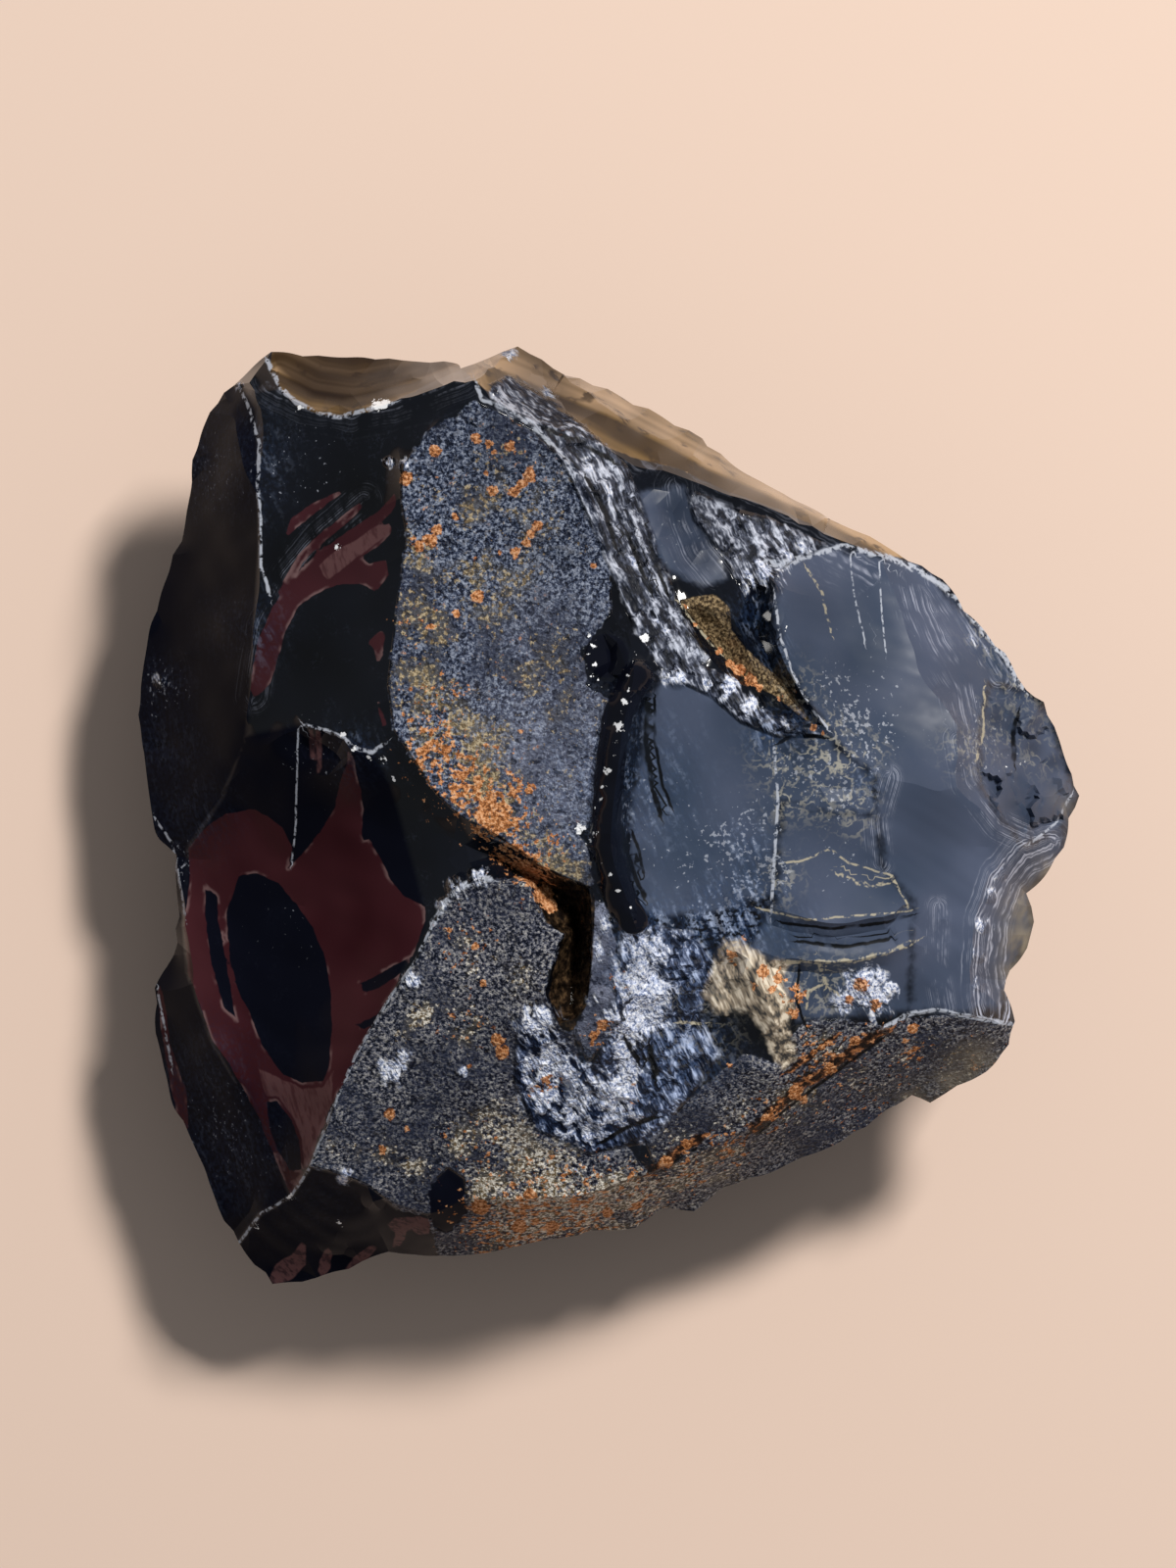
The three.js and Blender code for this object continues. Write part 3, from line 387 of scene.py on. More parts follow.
# Painted shade: here the colour is darkened where the stone should look less brightly lit
SHADE_SPOTS = [
    (695, 525, 34, 0.7), (715, 565, 28, 0.7), (840, 620, 50, 0.45), (860, 680, 50, 0.4), (820, 660, 30, 0.4),
    (1040, 760, 40, 0.3), (1040, 830, 34, 0.35), (940, 820, 50, 0.25), (638, 820, 18, 0.5),
    (640, 880, 18, 0.5), (645, 760, 18, 0.5), (812, 751, 20, 0.8), (1056, 764, 11, 0.7), (1079, 778, 9, 0.6),
    (1018, 732, 9, 0.6), (950, 716, 40, 0.3), (850, 650, 60, 0.3), (520, 460, 70, 0.4), (570, 560, 60, 0.3),
    (430, 1120, 70, 0.15), (330, 400, 40, 0.4), (556, 386, 44, 0.84), (606, 418, 24, 0.4),
    (642, 440, 20, 0.35), (442, 372, 22, 0.7), (400, 386, 24, 0.4),
]
BLOOM_SPOTS = [
    (606, 935, 18, 0.8), (613, 960, 18, 0.8), (615, 985, 18, 0.8), (612, 1012, 18, 0.8), (604, 1045, 18, 0.7),
    (550, 775, 60, 0.42), (590, 720, 40, 0.36), (545, 650, 44, 0.25), (570, 830, 34, 0.36),
]
# Painted light: the glow of light shining through the thin brown edges of the glass
LIT_THIN_EDGE_SPOTS = [
    (1052, 925, 20, 0.9), (1046, 962, 18, 0.9), (1034, 992, 12, 0.6), (1068, 886, 10, 0.6),
    (1000, 1088, 22, 0.7), (975, 1106, 20, 0.6), (940, 1124, 18, 0.6), (735, 1215, 14, 0.4),
    (1090, 818, 12, 0.6),
]
# Lines on the skin, each as (half width, path)
CHIPPED_ARRISES = [
    (1.6, [(242, 392), (254, 416), (265, 454), (263, 497), (266, 530), (266, 578), (276, 607)]),
    (2.2, [(272, 367), (287, 397), (303, 411), (326, 422), (348, 427), (371, 420), (399, 413)]),
    (1.3, [(241, 1272), (264, 1241), (296, 1222), (317, 1190), (342, 1125), (364, 1075), (399, 1016),
           (424, 981), (441, 945)]),
    (3.0, [(441, 945), (455, 919), (470, 905), (486, 895), (500, 897)]),
    (1.8, [(313, 740), (334, 746), (352, 752), (361, 762), (380, 768), (392, 760)]),
    (0.9, [(305, 745), (303, 800), (301, 850), (297, 880)]),
    (3.0, [(780, 575), (800, 576), (830, 566), (860, 558), (900, 567), (940, 582), (975, 607), (1003, 641),
           (1028, 670), (1044, 700)]),
    (2.0, [(905, 1047), (927, 1035), (955, 1030), (978, 1035), (1010, 1041), (1033, 1046)]),
    (0.8, [(867, 566), (871, 608), (882, 656)]),
    (0.8, [(897, 572), (899, 624), (903, 666)]),
    (1.2, [(789, 605), (795, 650), (808, 688), (824, 720), (842, 742)]),
    (1.8, [(486, 392), (493, 411), (520, 420), (548, 441), (580, 474)]),
    (1.4, [(789, 762), (793, 820), (789, 880), (786, 932)]),
    (1.2, [(157, 1012), (166, 1060), (172, 1090)]),
    (1.2, [(155, 836), (172, 860), (180, 900), (186, 935)]),
    (1.2, [(1095, 812), (1080, 840), (1050, 862)]),
]
CREAM_LINES = [
    (1.2, [(824, 582), (837, 603), (847, 645)]),
    (1.6, [(801, 981), (844, 981), (888, 977), (931, 962)]),
    (2.6, [(870, 979), (900, 973), (931, 961)]),
    (1.0, [(775, 927), (823, 938), (870, 934), (927, 929)]),
    (1.9, [(857, 892), (872, 900), (886, 903), (909, 899)]),
    (1.0, [(800, 880), (818, 878), (846, 866)]),
    (1.0, [(846, 866), (864, 880), (909, 893), (926, 925)]),
    (1.5, [(834, 980), (842, 1003), (852, 1013)]),
    (1.2, [(842, 1003), (824, 1010), (822, 1030)]),
    (1.0, [(693, 617), (711, 641), (733, 667)]),
    (1.3, [(694, 1043), (716, 1044)]),
    (1.2, [(1005, 703), (1003, 750), (997, 772)]),
]
VEINS = [
    (5.5, [(905, 1050), (872, 1070), (842, 1092), (812, 1112), (788, 1134), (770, 1152)]),
    (3.0, [(850, 1058), (828, 1076), (806, 1092)]),
    (4.5, [(716, 1160), (692, 1175), (666, 1194)]),
]
CRACKS = [
    (2.4, [(634, 846), (639, 868), (647, 892), (657, 914)]),
    (1.6, [(645, 850), (652, 868), (656, 890)]),
    (2.6, [(660, 717), (659, 761), (665, 800), (673, 830)]),
    (1.6, [(667, 714), (668, 758), (675, 800), (684, 822)]),
    (2.0, [(632, 880), (640, 912), (652, 934)]),
    (1.6, [(900, 1060), (866, 1084), (834, 1108), (800, 1134), (776, 1156)]),
    (1.6, [(716, 1170), (690, 1184), (670, 1200)]),
    (2.4, [(1040, 730), (1034, 750), (1036, 776)]),
    (2.6, [(640, 1062), (650, 1080)]),
    (4.0, [(664, 1070), (668, 1096)]),
    (1.4, [(815, 985), (812, 1020), (822, 1048)]),
    (2.0, [(795, 757), (812, 750), (838, 752)]),
    (1.4, [(797, 941), (848, 947), (900, 941), (928, 934)]),
    (2.0, [(640, 545), (652, 578), (664, 605)]),
    (2.2, [(600, 492), (618, 525), (628, 560)]),
    (1.8, [(660, 540), (668, 575), (682, 610)]),
    (2.2, [(615, 1165), (640, 1150), (668, 1140)]),
    (2.4, [(558, 440), (590, 452), (625, 472)]),
    (1.8, [(815, 960), (860, 966), (905, 958)]),
]
# Painted sheen: pale streaks of light on the curled sheet and along the ripples of the glass, each as (half
# width, path)
SHEEN_ON_SHEET = [(16, [(1072, 862), (1046, 872), (1024, 896), (1010, 935), (1005, 985), (1010, 1034)])]
SHEEN_STREAKS = [
    (5, [(957, 925), (955, 985), (964, 1030)]),
    (6, [(905, 793), (893, 835), (897, 880)]),
    (9, [(925, 588), (935, 625), (950, 660), (975, 700), (984, 745)]),
    (10, [(955, 592), (980, 630), (1002, 662), (1020, 690)]),
    (7, [(977, 755), (985, 800), (1020, 842), (1056, 858)]),
    (10, [(690, 498), (694, 530), (708, 565), (730, 592)]),
    (30, [(515, 380), (620, 425), (720, 478), (820, 520), (905, 566)]),
    (20, [(285, 380), (320, 398), (360, 404), (420, 392), (470, 372)]),
    (8, [(372, 512), (330, 548), (295, 590), (270, 640), (258, 710)]),
]
# Ripples as (outline, where the blow fell, wave in pixels, height in millimetres)
RIPPLES = [
    # the scallop behind the north-west edge
    ([(276, 358), (340, 363), (467, 367), (432, 395), (399, 413), (348, 427), (303, 411), (283, 385)],
     (360, 300), 17, 0.05),
    # the strip along the upper edge that carries the painted golden reflection
    ([(528, 353), (720, 450), (870, 541), (900, 566), (743, 506), (619, 458), (502, 411), (508, 372)],
     (470, 300), 46, 0.06),
    # the fan: coarse rings and fine ones
    (SATIN["fan"], (1120, 560), 58, 0.05),
    (SATIN["fan"], (760, 1180), 15, 0.012),
    # the curled sheet at the east edge
    ([(1000, 880), (1045, 862), (1090, 850), (1049, 912), (1057, 941), (1032, 991), (1030, 1040), (975, 1030),
      (985, 950)], (900, 960), 13, 0.045),
    (SATIN["bowl"], (900, 700), 64, 0.03),
    (SATIN["chute"], (600, 430), 16, 0.03),
    # the broken steps at the south-west
    ([(241, 1272), (264, 1241), (296, 1222), (317, 1190), (374, 1209), (436, 1241), (448, 1285), (354, 1299),
      (275, 1315)], (352, 1190), 17, 0.035),
    # the long west flank
    ([(249, 394), (440, 400), (411, 478), (416, 550), (397, 700), (380, 765), (313, 740), (262, 620),
      (266, 554)], (330, 330), 90, 0.05),
    ([(270, 760), (313, 745), (403, 750), (500, 860), (455, 919), (342, 1125), (296, 1222), (190, 960),
      (225, 815)], (420, 720), 74, 0.06),
]


def to_pixels(points):
    """Places on the stone's plan, in the picture's pixels."""
    x = PLAN_ORIGIN[0] + points[:, 0] / PIXEL
    y = PLAN_ORIGIN[1] - points[:, 1] / PIXEL
    return np.stack([x, y], axis=1)


def runs(path):
    """The start and the step of each straight run of a path."""
    corners = np.array(path, float)
    return zip(corners[:-1], corners[1:] - corners[:-1])


def run_distance(offsets, step):
    """How far each place is from a straight run, from its offset to the run's start."""
    along = np.clip(offsets @ step / max(step @ step, 1e-9), 0, 1)
    return np.hypot(*(offsets - along[:, None] * step).T)


def path_distance(pixels, path):
    """How far each place is from an open path, in pixels."""
    return np.min([run_distance(pixels - start, step) for start, step in runs(path)], axis=0)


def line_field(pixels, lines):
    """How far each place is to one side of the nearest line, in half widths, and how near to that line."""
    nearest = np.full(len(pixels), 1e9)
    offset = np.full(len(pixels), OFF_LINE)
    presence = np.zeros(len(pixels))
    for half_width, path in lines:
        for start, step in runs(path):
            rel = pixels - start
            gap = run_distance(rel, step)
            side = np.where(rel[:, 0] * step[1] - rel[:, 1] * step[0] < 0, -1.0, 1.0)
            nearer = gap < nearest
            nearest = np.where(nearer, gap, nearest)
            offset = np.where(nearer, side * gap / half_width, offset)
            presence = np.where(nearer, np.clip(1.5 - 0.5 * gap / (half_width + 3), 0, 1), presence)
    return offset, presence


def depth_in(pixels, outline):
    """Distance to an outline in pixels: above 0 inside it, below 0 outside."""
    inside = np.zeros(len(pixels), bool)
    x, y = pixels.T
    for (ax, ay), (bx, by) in zip(outline, outline[1:] + outline[:1]):
        if ay != by:
            inside ^= ((ay > y) != (by > y)) & (x < (bx - ax) * (y - ay) / (by - ay) + ax)
    distance = path_distance(pixels, outline + outline[:1])
    return np.where(inside, distance, -distance)


def depth_in_any(pixels, outlines):
    """The greatest of the depths in several outlines."""
    return np.max([depth_in(pixels, outline) for outline in outlines], axis=0)


def spots(pixels, centres):
    """A soft field: the strongest of the round spots at each place."""
    field = np.zeros(len(pixels))
    for x, y, radius, strength in centres:
        d2 = ((pixels - (x, y)) ** 2).sum(axis=1) / radius**2
        field = np.maximum(field, strength * np.exp(-0.7 * d2))
    return field


def hashed(cells):
    """Numbers from 0 to 1 that look random, one for each row of whole numbers."""
    wave = np.sin(cells @ np.array([127.1, 311.7, 74.7][: cells.shape[1]])) * 43758.5453
    return wave - np.floor(wave)


def value_noise(points, size):
    """Smooth noise from -1 to 1 with bumps of the given size."""
    scaled = points / size
    low = np.floor(scaled)
    t = scaled - low
    t = t * t * (3 - 2 * t)
    total = np.zeros(len(points))
    for corner in np.ndindex(*(2,) * points.shape[1]):
        step = np.array(corner)
        weight = np.prod(np.where(step == 1, t, 1 - t), axis=1)
        total += weight * hashed(low + step)
    return 2 * total - 1


def facets(pixels, size, height):
    """Flat tilted facets: each place takes the slope of the nearest of a scatter of seeds."""
    cell = np.floor(pixels / size)
    best = np.full(len(pixels), 1e9)
    lift = np.zeros(len(pixels))
    for corner in np.ndindex(3, 3):
        near = cell + np.array(corner) - 1
        seed = (near + np.stack([hashed(near), hashed(near + 57.3)], axis=1)) * size
        rel = pixels - seed
        distance = (rel**2).sum(axis=1)
        tilt = np.stack([hashed(near + 13.7), hashed(near + 91.9)], axis=1) - 0.5
        plane = hashed(near + 31.1) - 0.5 + 1.8 * (rel * tilt).sum(axis=1) / size
        nearer = distance < best
        best = np.where(nearer, distance, best)
        lift = np.where(nearer, plane, lift)
    return height * lift


def facet_layers(pixels, layers):
    """Facets over facets, from layers of (shift, size, height)."""
    return sum(facets(pixels + shift, size, height) for shift, size, height in layers)


def edge_ends(faces):
    """The two ends of each face's three edges, the lower number first."""
    return np.sort(faces[:, [[0, 1], [1, 2], [2, 0]]].reshape(-1, 2), axis=1)


def among(edges, chosen, count):
    """Which of the edges are also in the chosen ones, on a mesh of so many points."""
    return np.isin(edges[:, 0] * count + edges[:, 1], chosen[:, 0] * count + chosen[:, 1])


def loop_cut(points, faces, sharp):
    """One round of smooth subdivision that leaves the sharp edges and their corners sharp."""
    count = len(points)
    edges, where = np.unique(edge_ends(faces), axis=0, return_inverse=True)
    where = where.reshape(-1, 3)
    is_sharp = among(edges, sharp, count)
    opposite = np.zeros((len(edges), 3))
    for side, far in ((0, 2), (1, 0), (2, 1)):
        np.add.at(opposite, where[:, side], points[faces[:, far]])
    ends = points[edges[:, 0]] + points[edges[:, 1]]
    middles = np.where(is_sharp[:, None], ends / 2, 3 * ends / 8 + opposite / 8)

    around = np.zeros((count, 3))
    valence = np.zeros(count)
    along = np.zeros((count, 3))
    sharpness = np.zeros(count)
    for here, there in ((0, 1), (1, 0)):
        np.add.at(around, edges[:, here], points[edges[:, there]])
        np.add.at(valence, edges[:, here], 1)
        np.add.at(along, edges[is_sharp][:, here], points[edges[is_sharp][:, there]])
        np.add.at(sharpness, edges[is_sharp][:, here], 1)
    beta = np.where(valence > 3, 3 / (8 * valence), 3 / 16)[:, None]
    moved = (1 - valence[:, None] * beta) * points + beta * around
    moved = np.where((sharpness == 2)[:, None], 0.75 * points + along / 8, moved)
    moved = np.where((sharpness > 2)[:, None], points, moved)

    a, b, c = faces.T
    ab, bc, ca = (where + count).T
    finer = [(a, ab, ca), (ab, b, bc), (ca, bc, c), (ab, bc, ca)]
    finer = np.concatenate([np.stack(f, axis=1) for f in finer])
    middle = np.nonzero(is_sharp)[0] + count
    halves = np.concatenate([np.stack([edges[is_sharp][:, k], middle], axis=1) for k in (0, 1)])
    return np.concatenate([moved, middles]), finer, np.sort(halves, axis=1)


def face_normals(points, faces):
    """The direction that each face looks in."""
    a, b, c = (points[faces[:, k]] for k in range(3))
    normal = np.cross(b - a, c - a)
    return normal / np.maximum(np.linalg.norm(normal, axis=1, keepdims=True), 1e-20)


def sharp_edges(points, faces, angle):
    """The edges whose two faces meet at more than the angle, in degrees."""
    normal = face_normals(points, faces)
    ends = edge_ends(faces)
    owner = np.repeat(np.arange(len(faces)), 3)
    order = np.lexsort((ends[:, 1], ends[:, 0]))
    first, second = order[::2], order[1::2]
    cosine = (normal[owner[first]] * normal[owner[second]]).sum(axis=1)
    return ends[first][cosine < np.cos(np.radians(angle))]


def read_solid(node):
    """The welded points and the triangles of the solid."""
    mesh = node.data
    mesh.calc_loop_triangles()
    raw = np.empty(len(mesh.vertices) * 3)
    mesh.vertices.foreach_get("co", raw)
    corners = np.empty(len(mesh.loop_triangles) * 3, int)
    mesh.loop_triangles.foreach_get("vertices", corners)
    points, where = np.unique(np.round(raw.reshape(-1, 3), 7), axis=0, return_inverse=True)
    faces = where.reshape(-1)[corners].reshape(-1, 3)
    whole = (faces[:, 0] != faces[:, 1]) & (faces[:, 1] != faces[:, 2]) & (faces[:, 2] != faces[:, 0])
    return points, faces[whole]


def rim_distance(points, faces, up):
    """How far each point is from the sharp rim of the upper skin, and which points are on that skin."""
    touches = np.zeros((2, len(points)), bool)
    touches[0, faces[up].ravel()] = True
    touches[1, faces[~up].ravel()] = True
    rim = np.nonzero(touches.all(axis=0))[0]
    tree = kdtree.KDTree(len(rim))
    for i in rim:
        tree.insert(points[i], int(i))
    tree.balance()
    return np.array([tree.find(p)[2] for p in points]), touches[0]


def rings(pixels, centre, wave, phase=0.0):
    """Ripples round the point where the blow fell, steeper on the far side of each."""
    radius = np.hypot(*(pixels - centre).T)
    turn = 2 * np.pi * radius / wave + phase
    return np.sin(turn) + 0.35 * np.sin(2 * turn + 0.6)


def bead(pixels, path, radius):
    """The rounded height of a bead of glass laid along a path, from 0 to 1."""
    distance = path_distance(pixels, path) / radius
    return np.sqrt(np.clip(1 - distance**2, 0, 1))


def glass_relief(pixels, glass):
    """Ripples round the blows that broke the glass."""
    lift = glass * WAVE_HEIGHT * value_noise(pixels, 40)
    wander = 1.5 * value_noise(pixels, 60)
    for outline, centre, wave, height in RIPPLES:
        inside = np.clip(depth_in(pixels, outline) / 14, 0, 1)
        lift += inside * height * rings(pixels, centre, wave, wander)
    return lift


def upper_relief(pixels):
    """How far the upper skin is lifted, in millimetres."""
    rind = np.clip(depth_in_any(pixels, [UPPER_PLATE, LOWER_PLATE, PIT_STRIP]) / 6 + 0.5, 0, 1)
    broken = np.clip(depth_in_any(pixels, CRUSHED.values()) / 8 + 0.3, 0, 1)
    crushed = np.clip(np.maximum(broken, 1.4 * spots(pixels, WHITE_SPOTS) - 0.4), 0, 1)
    tip = np.clip(depth_in(pixels, SATIN["tip"]) / 10, 0, 1)
    lift = rind * LUMP_HEIGHT * (value_noise(pixels, 26) + 0.6 * value_noise(pixels, 12))
    lift += crushed * facet_layers(pixels, SPLINTERS) + tip * facet_layers(pixels, TIP_FACETS)
    lift += glass_relief(pixels, (1 - rind) * (1 - crushed))
    lift += np.clip(spots(pixels, BEADS) - 0.4, 0, 1) * BEAD_HEIGHT
    lift += ROPE_HEIGHT * (1 + 0.3 * value_noise(pixels, 16)) * bead(pixels, RIDGE_PATH, ROPE_RADIUS)
    lift += KNOB_HEIGHT * bead(pixels, KNOB, KNOB_RADIUS)
    for half_width, path in CRACKS:
        lift -= CRACK_DEPTH * bead(pixels, path, 3.2 * half_width)
    return lift


def lower_relief(pixels, points):
    """How far the lower skin is lifted, in millimetres: each place ripples round the nearest blow."""
    blows = np.array(HIDDEN_BLOWS, float)
    distance = np.stack([np.hypot(*(pixels - blow[:2]).T) for blow in blows])
    first, second = np.sort(distance, axis=0)[:2]
    ripples = np.stack([rings(pixels, blow[:2], blow[2]) for blow in blows])
    nearest = np.take_along_axis(ripples, distance.argmin(axis=0)[None], axis=0)[0]
    ripples = nearest * np.clip((second - first) / 40, 0, 1)
    return 0.05 * value_noise(points / PIXEL, 45) + 0.07 * ripples


def relief(points, rim, on_top):
    """How far the skin is lifted, in metres. The rim and the resting face stay where they are."""
    pixels = to_pixels(points)
    lift = np.where(on_top, upper_relief(pixels), lower_relief(pixels, points))
    fade = np.clip(rim / RIM_FADE, 0, 1)
    flat_foot = points[:, 2] < 1e-4
    return np.where(flat_foot, 0, 0.001 * lift * fade)


def make_stone(node):
    """The stone's skin, cut finer from its solid and painted by zones."""
    points, faces = read_solid(node)
    sharp = sharp_edges(points, faces, ARRIS_ANGLE)
    for _ in range(CUTS):
        points, faces, sharp = loop_cut(points, faces, sharp)
    up = face_normals(points, faces)[:, 2] > 0
    rim, on_top = rim_distance(points, faces, up)
    points[:, 2] += relief(points, rim, on_top)
    points[:, 2] = np.maximum(points[:, 2], 0)
    sharp = np.concatenate([sharp, sharp_edges(points, faces, CHIP_ANGLE)])

    mesh = bpy.data.meshes.new("obsidian")
    mesh.from_pydata(points.tolist(), [], faces.tolist())
    mesh.shade_smooth()
    mark_sharp(mesh, sharp, len(points))
    paint_zones(mesh, to_pixels(points), faces, up)
    stone = bpy.data.objects.new("obsidian", mesh)
    bpy.context.scene.collection.objects.link(stone)
    return stone


def mark_sharp(mesh, sharp, count):
    """Keeps the shading crisp along the arrises."""
    ends = np.empty(len(mesh.edges) * 2, int)
    mesh.edges.foreach_get("vertices", ends)
    ends = np.sort(ends.reshape(-1, 2), axis=1)
    layer = mesh.attributes.new("sharp_edge", "BOOLEAN", "EDGE")
    layer.data.foreach_set("value", among(ends, sharp, count))


def zone_depths(pixels):
    """How deep each place lies in each kind of skin, in pixels."""
    crust = np.minimum(depth_in_any(pixels, [LOWER_PLATE, VEIN_BANK]), -depth_in(pixels, NOTCH))
    red = depth_in_any(pixels, RED_REFLECTION.values())
    ridge = ROPE_RADIUS - 1 - path_distance(pixels, RIDGE_PATH)
    knob = KNOB_RADIUS - 2 - path_distance(pixels, KNOB)
    depths = {
        "rind": np.maximum(depth_in_any(pixels, [UPPER_PLATE, PIT_STRIP]), crust),
        "crust": crust,
        "crushed": np.minimum(depth_in_any(pixels, CRUSHED.values()), -depth_in(pixels, BLADE)),
        "red_reflection": np.minimum(red, -depth_in_any(pixels, RED_REFLECTION_GAPS.values())),
        "rope": np.maximum(ridge, knob),
    }
    outlines = {
        "pit": [PIT], "gully": [GULLY], "tan": [TAN_FOLD], "heart": [CRUSHED["heart"]],
        "satin": SATIN.values(), "pale_red_reflection": PALE_RED_REFLECTION.values(), "golden_reflection": GOLDEN_REFLECTION.values(), "dull": DULL.values(),
    }
    for name, outline_set in outlines.items():
        depths[name] = depth_in_any(pixels, outline_set)
    return depths


def zone_values(pixels):
    """What each place is made of, as a value on the upper skin and one on the lower skin."""
    below = {"rind": depth_in(pixels, HIDDEN_RIND), "satin": depth_in(pixels, HIDDEN_SATIN)}
    zones = {name: (depth, below.get(name, OUTSIDE)) for name, depth in zone_depths(pixels).items()}
    strewn = {
        "rust": RUST_SPOTS, "pale_grit": CREAM_SPOTS, "fleck": FLECK_SPOTS, "white": WHITE_SPOTS,
        "bead": BEADS, "glint": GLINTS, "haze_and_sheen": HAZE_AND_SHEEN_SPOTS, "crumple": CRUMPLE_SPOTS,
        "lit_thin_edge": LIT_THIN_EDGE_SPOTS, "shade": SHADE_SPOTS, "bloom": BLOOM_SPOTS,
    }
    for name, centres in strewn.items():
        zones[name] = (spots(pixels, centres), HIDDEN_DUST.get(name, 0.0))
    lines = {
        "chip": CHIPPED_ARRISES, "cream": CREAM_LINES, "vein": VEINS, "crack": CRACKS,
        "sheen_streak": SHEEN_STREAKS, "sheet": SHEEN_ON_SHEET,
    }
    for name, line_set in lines.items():
        offset, presence = line_field(pixels, line_set)
        zones[name + "_offset"] = (offset, OFF_LINE)
        zones[name + "_presence"] = (presence, 0.0)
    return zones


def paint_zones(mesh, pixels, faces, up):
    """Stores the zones on the corners of the faces."""
    corners = faces.ravel()
    on_top = np.repeat(up, 3)
    for name, (top, below) in zone_values(pixels).items():
        layer = mesh.attributes.new(name, "FLOAT", "CORNER")
        hidden = np.broadcast_to(below, len(pixels))
        layer.data.foreach_set("value", np.where(on_top, top[corners], hidden[corners]).astype(np.float32))


class Shader:
    """Short names for the nodes of a material."""

    def __init__(self, name):
        self.material = bpy.data.materials.new(name)
        self.material.use_nodes = True
        self.tree = self.material.node_tree
        self.tree.nodes.clear()
        self.place = self.add("ShaderNodeTexCoord").outputs["Object"]

    def add(self, kind, inputs=(), **settings):
        """A new node with these settings and inputs, each input a value or another node's socket."""
        node = self.tree.nodes.new(kind)
        for name, value in settings.items():
            setattr(node, name, value)
        for name, value in dict(inputs).items():
            if isinstance(value, bpy.types.NodeSocket):
                self.tree.links.new(value, node.inputs[name])
            else:
                node.inputs[name].default_value = value
        return node

    def surface(self, inputs):
        """Ends the material in one shader with these inputs."""
        shader = self.add("ShaderNodeBsdfPrincipled", inputs)
        self.add("ShaderNodeOutputMaterial", {"Surface": shader.outputs[0]})
        return self.material

    def zone(self, name):
        return self.add("ShaderNodeAttribute", attribute_name=name).outputs["Fac"]

    def math(self, operation, a, b, clamp=False):
        return self.add("ShaderNodeMath", {0: a, 1: b}, operation=operation, use_clamp=clamp).outputs[0]

    def plus(self, a, b):
        return self.math("ADD", a, b)

    def times(self, a, b, clamp=False):
        return self.math("MULTIPLY", a, b, clamp)

    def most(self, a, b):
        return self.math("MAXIMUM", a, b)

    def span(self, value, low, high, to_low=0.0, to_high=1.0):
        """value between low and high, as a smooth step between the other two."""
        inputs = enumerate((value, low, high, to_low, to_high))
        return self.add("ShaderNodeMapRange", inputs, interpolation_type="SMOOTHSTEP").outputs[0]

    def centred(self, value, height):
        """Noise from -height/2 to height/2."""
        return self.times(self.math("SUBTRACT", value, 0.5), height)

    def noise(self, size_mm, detail, rough, along=None, stretch=1.0):
        """Noise of one grain size, drawn out along a direction of the plan where one is given."""
        place = self.place
        if along:
            angle = math.atan2(along[1], along[0])
            turn = {"Vector": place, "Rotation": (0, 0, angle), "Scale": (stretch, 1, 1)}
            place = self.add("ShaderNodeMapping", turn, vector_type="TEXTURE").outputs[0]
        inputs = {"Vector": place, "Scale": 1000 / size_mm, "Detail": detail, "Roughness": rough}
        return self.add("ShaderNodeTexNoise", inputs).outputs["Fac"]

    def stripes(self, value, size):
        """Uneven stripes across a number."""
        inputs = {"W": value, "Scale": 1 / size, "Detail": 2}
        return self.add("ShaderNodeTexNoise", inputs, noise_dimensions="1D").outputs["Fac"]

    def crazing(self, size_mm):
        """How far each place is from a net of crooked cracks, in cells."""
        shake = self.add("ShaderNodeTexNoise", {"Vector": self.place, "Scale": 1300 / size_mm})
        inputs = {0: shake.outputs["Color"], 1: (0.0016 * size_mm,) * 3, 2: self.place}
        moved = self.add("ShaderNodeVectorMath", inputs, operation="MULTIPLY_ADD")
        inputs = {"Vector": moved.outputs[0], "Scale": 1000 / size_mm}
        return self.add("ShaderNodeTexVoronoi", inputs, feature="DISTANCE_TO_EDGE").outputs["Distance"]

    def ramp(self, value, *stops):
        """The colour at a value, between stops of (value, red, green, blue)."""
        node = self.add("ShaderNodeValToRGB", {0: value})
        points = node.color_ramp.elements
        while len(points) < len(stops):
            points.new(0.5)
        for point, (at, *color) in zip(points, stops):
            point.position = at
            point.color = (*color, 1)
        return node.outputs[0]

    def mix(self, amount, a, b):
        """Colour a turning into colour b."""
        a, b = (c if isinstance(c, bpy.types.NodeSocket) else (*c, 1) for c in (a, b))
        inputs = {"Factor": amount, "A": a, "B": b}
        return self.add("ShaderNodeMix", inputs, data_type="RGBA").outputs["Result"]

    def blend(self, amount, a, b):
        """Number a turning into number b."""
        inputs = {"Factor": amount, "A": a, "B": b}
        return self.add("ShaderNodeMix", inputs, data_type="FLOAT").outputs["Result"]

    def inside(self, name, ragged, low=-1.0, high=1.0):
        """1 inside a zone and 0 outside, with a ragged border."""
        return self.span(self.plus(self.zone(name), ragged), low, high)

    def strewn(self, name, grains, low, high):
        """Grains that show where a zone says they lie thick."""
        level = self.plus(grains, self.times(self.zone(name), 0.36))
        return self.times(self.span(level, low, high), self.span(self.zone(name), 0.03, 0.18))

    def lines(self, name, wobble, breaks):
        """1 on the lines of a set, with ragged sides and gaps."""
        offset = self.math("ABSOLUTE", self.plus(self.zone(name + "_offset"), wobble), 0.0)
        line = self.times(self.span(offset, 1.5, 0.6), self.span(self.zone(name + "_presence"), 0.1, 0.9))
        return self.times(line, breaks)


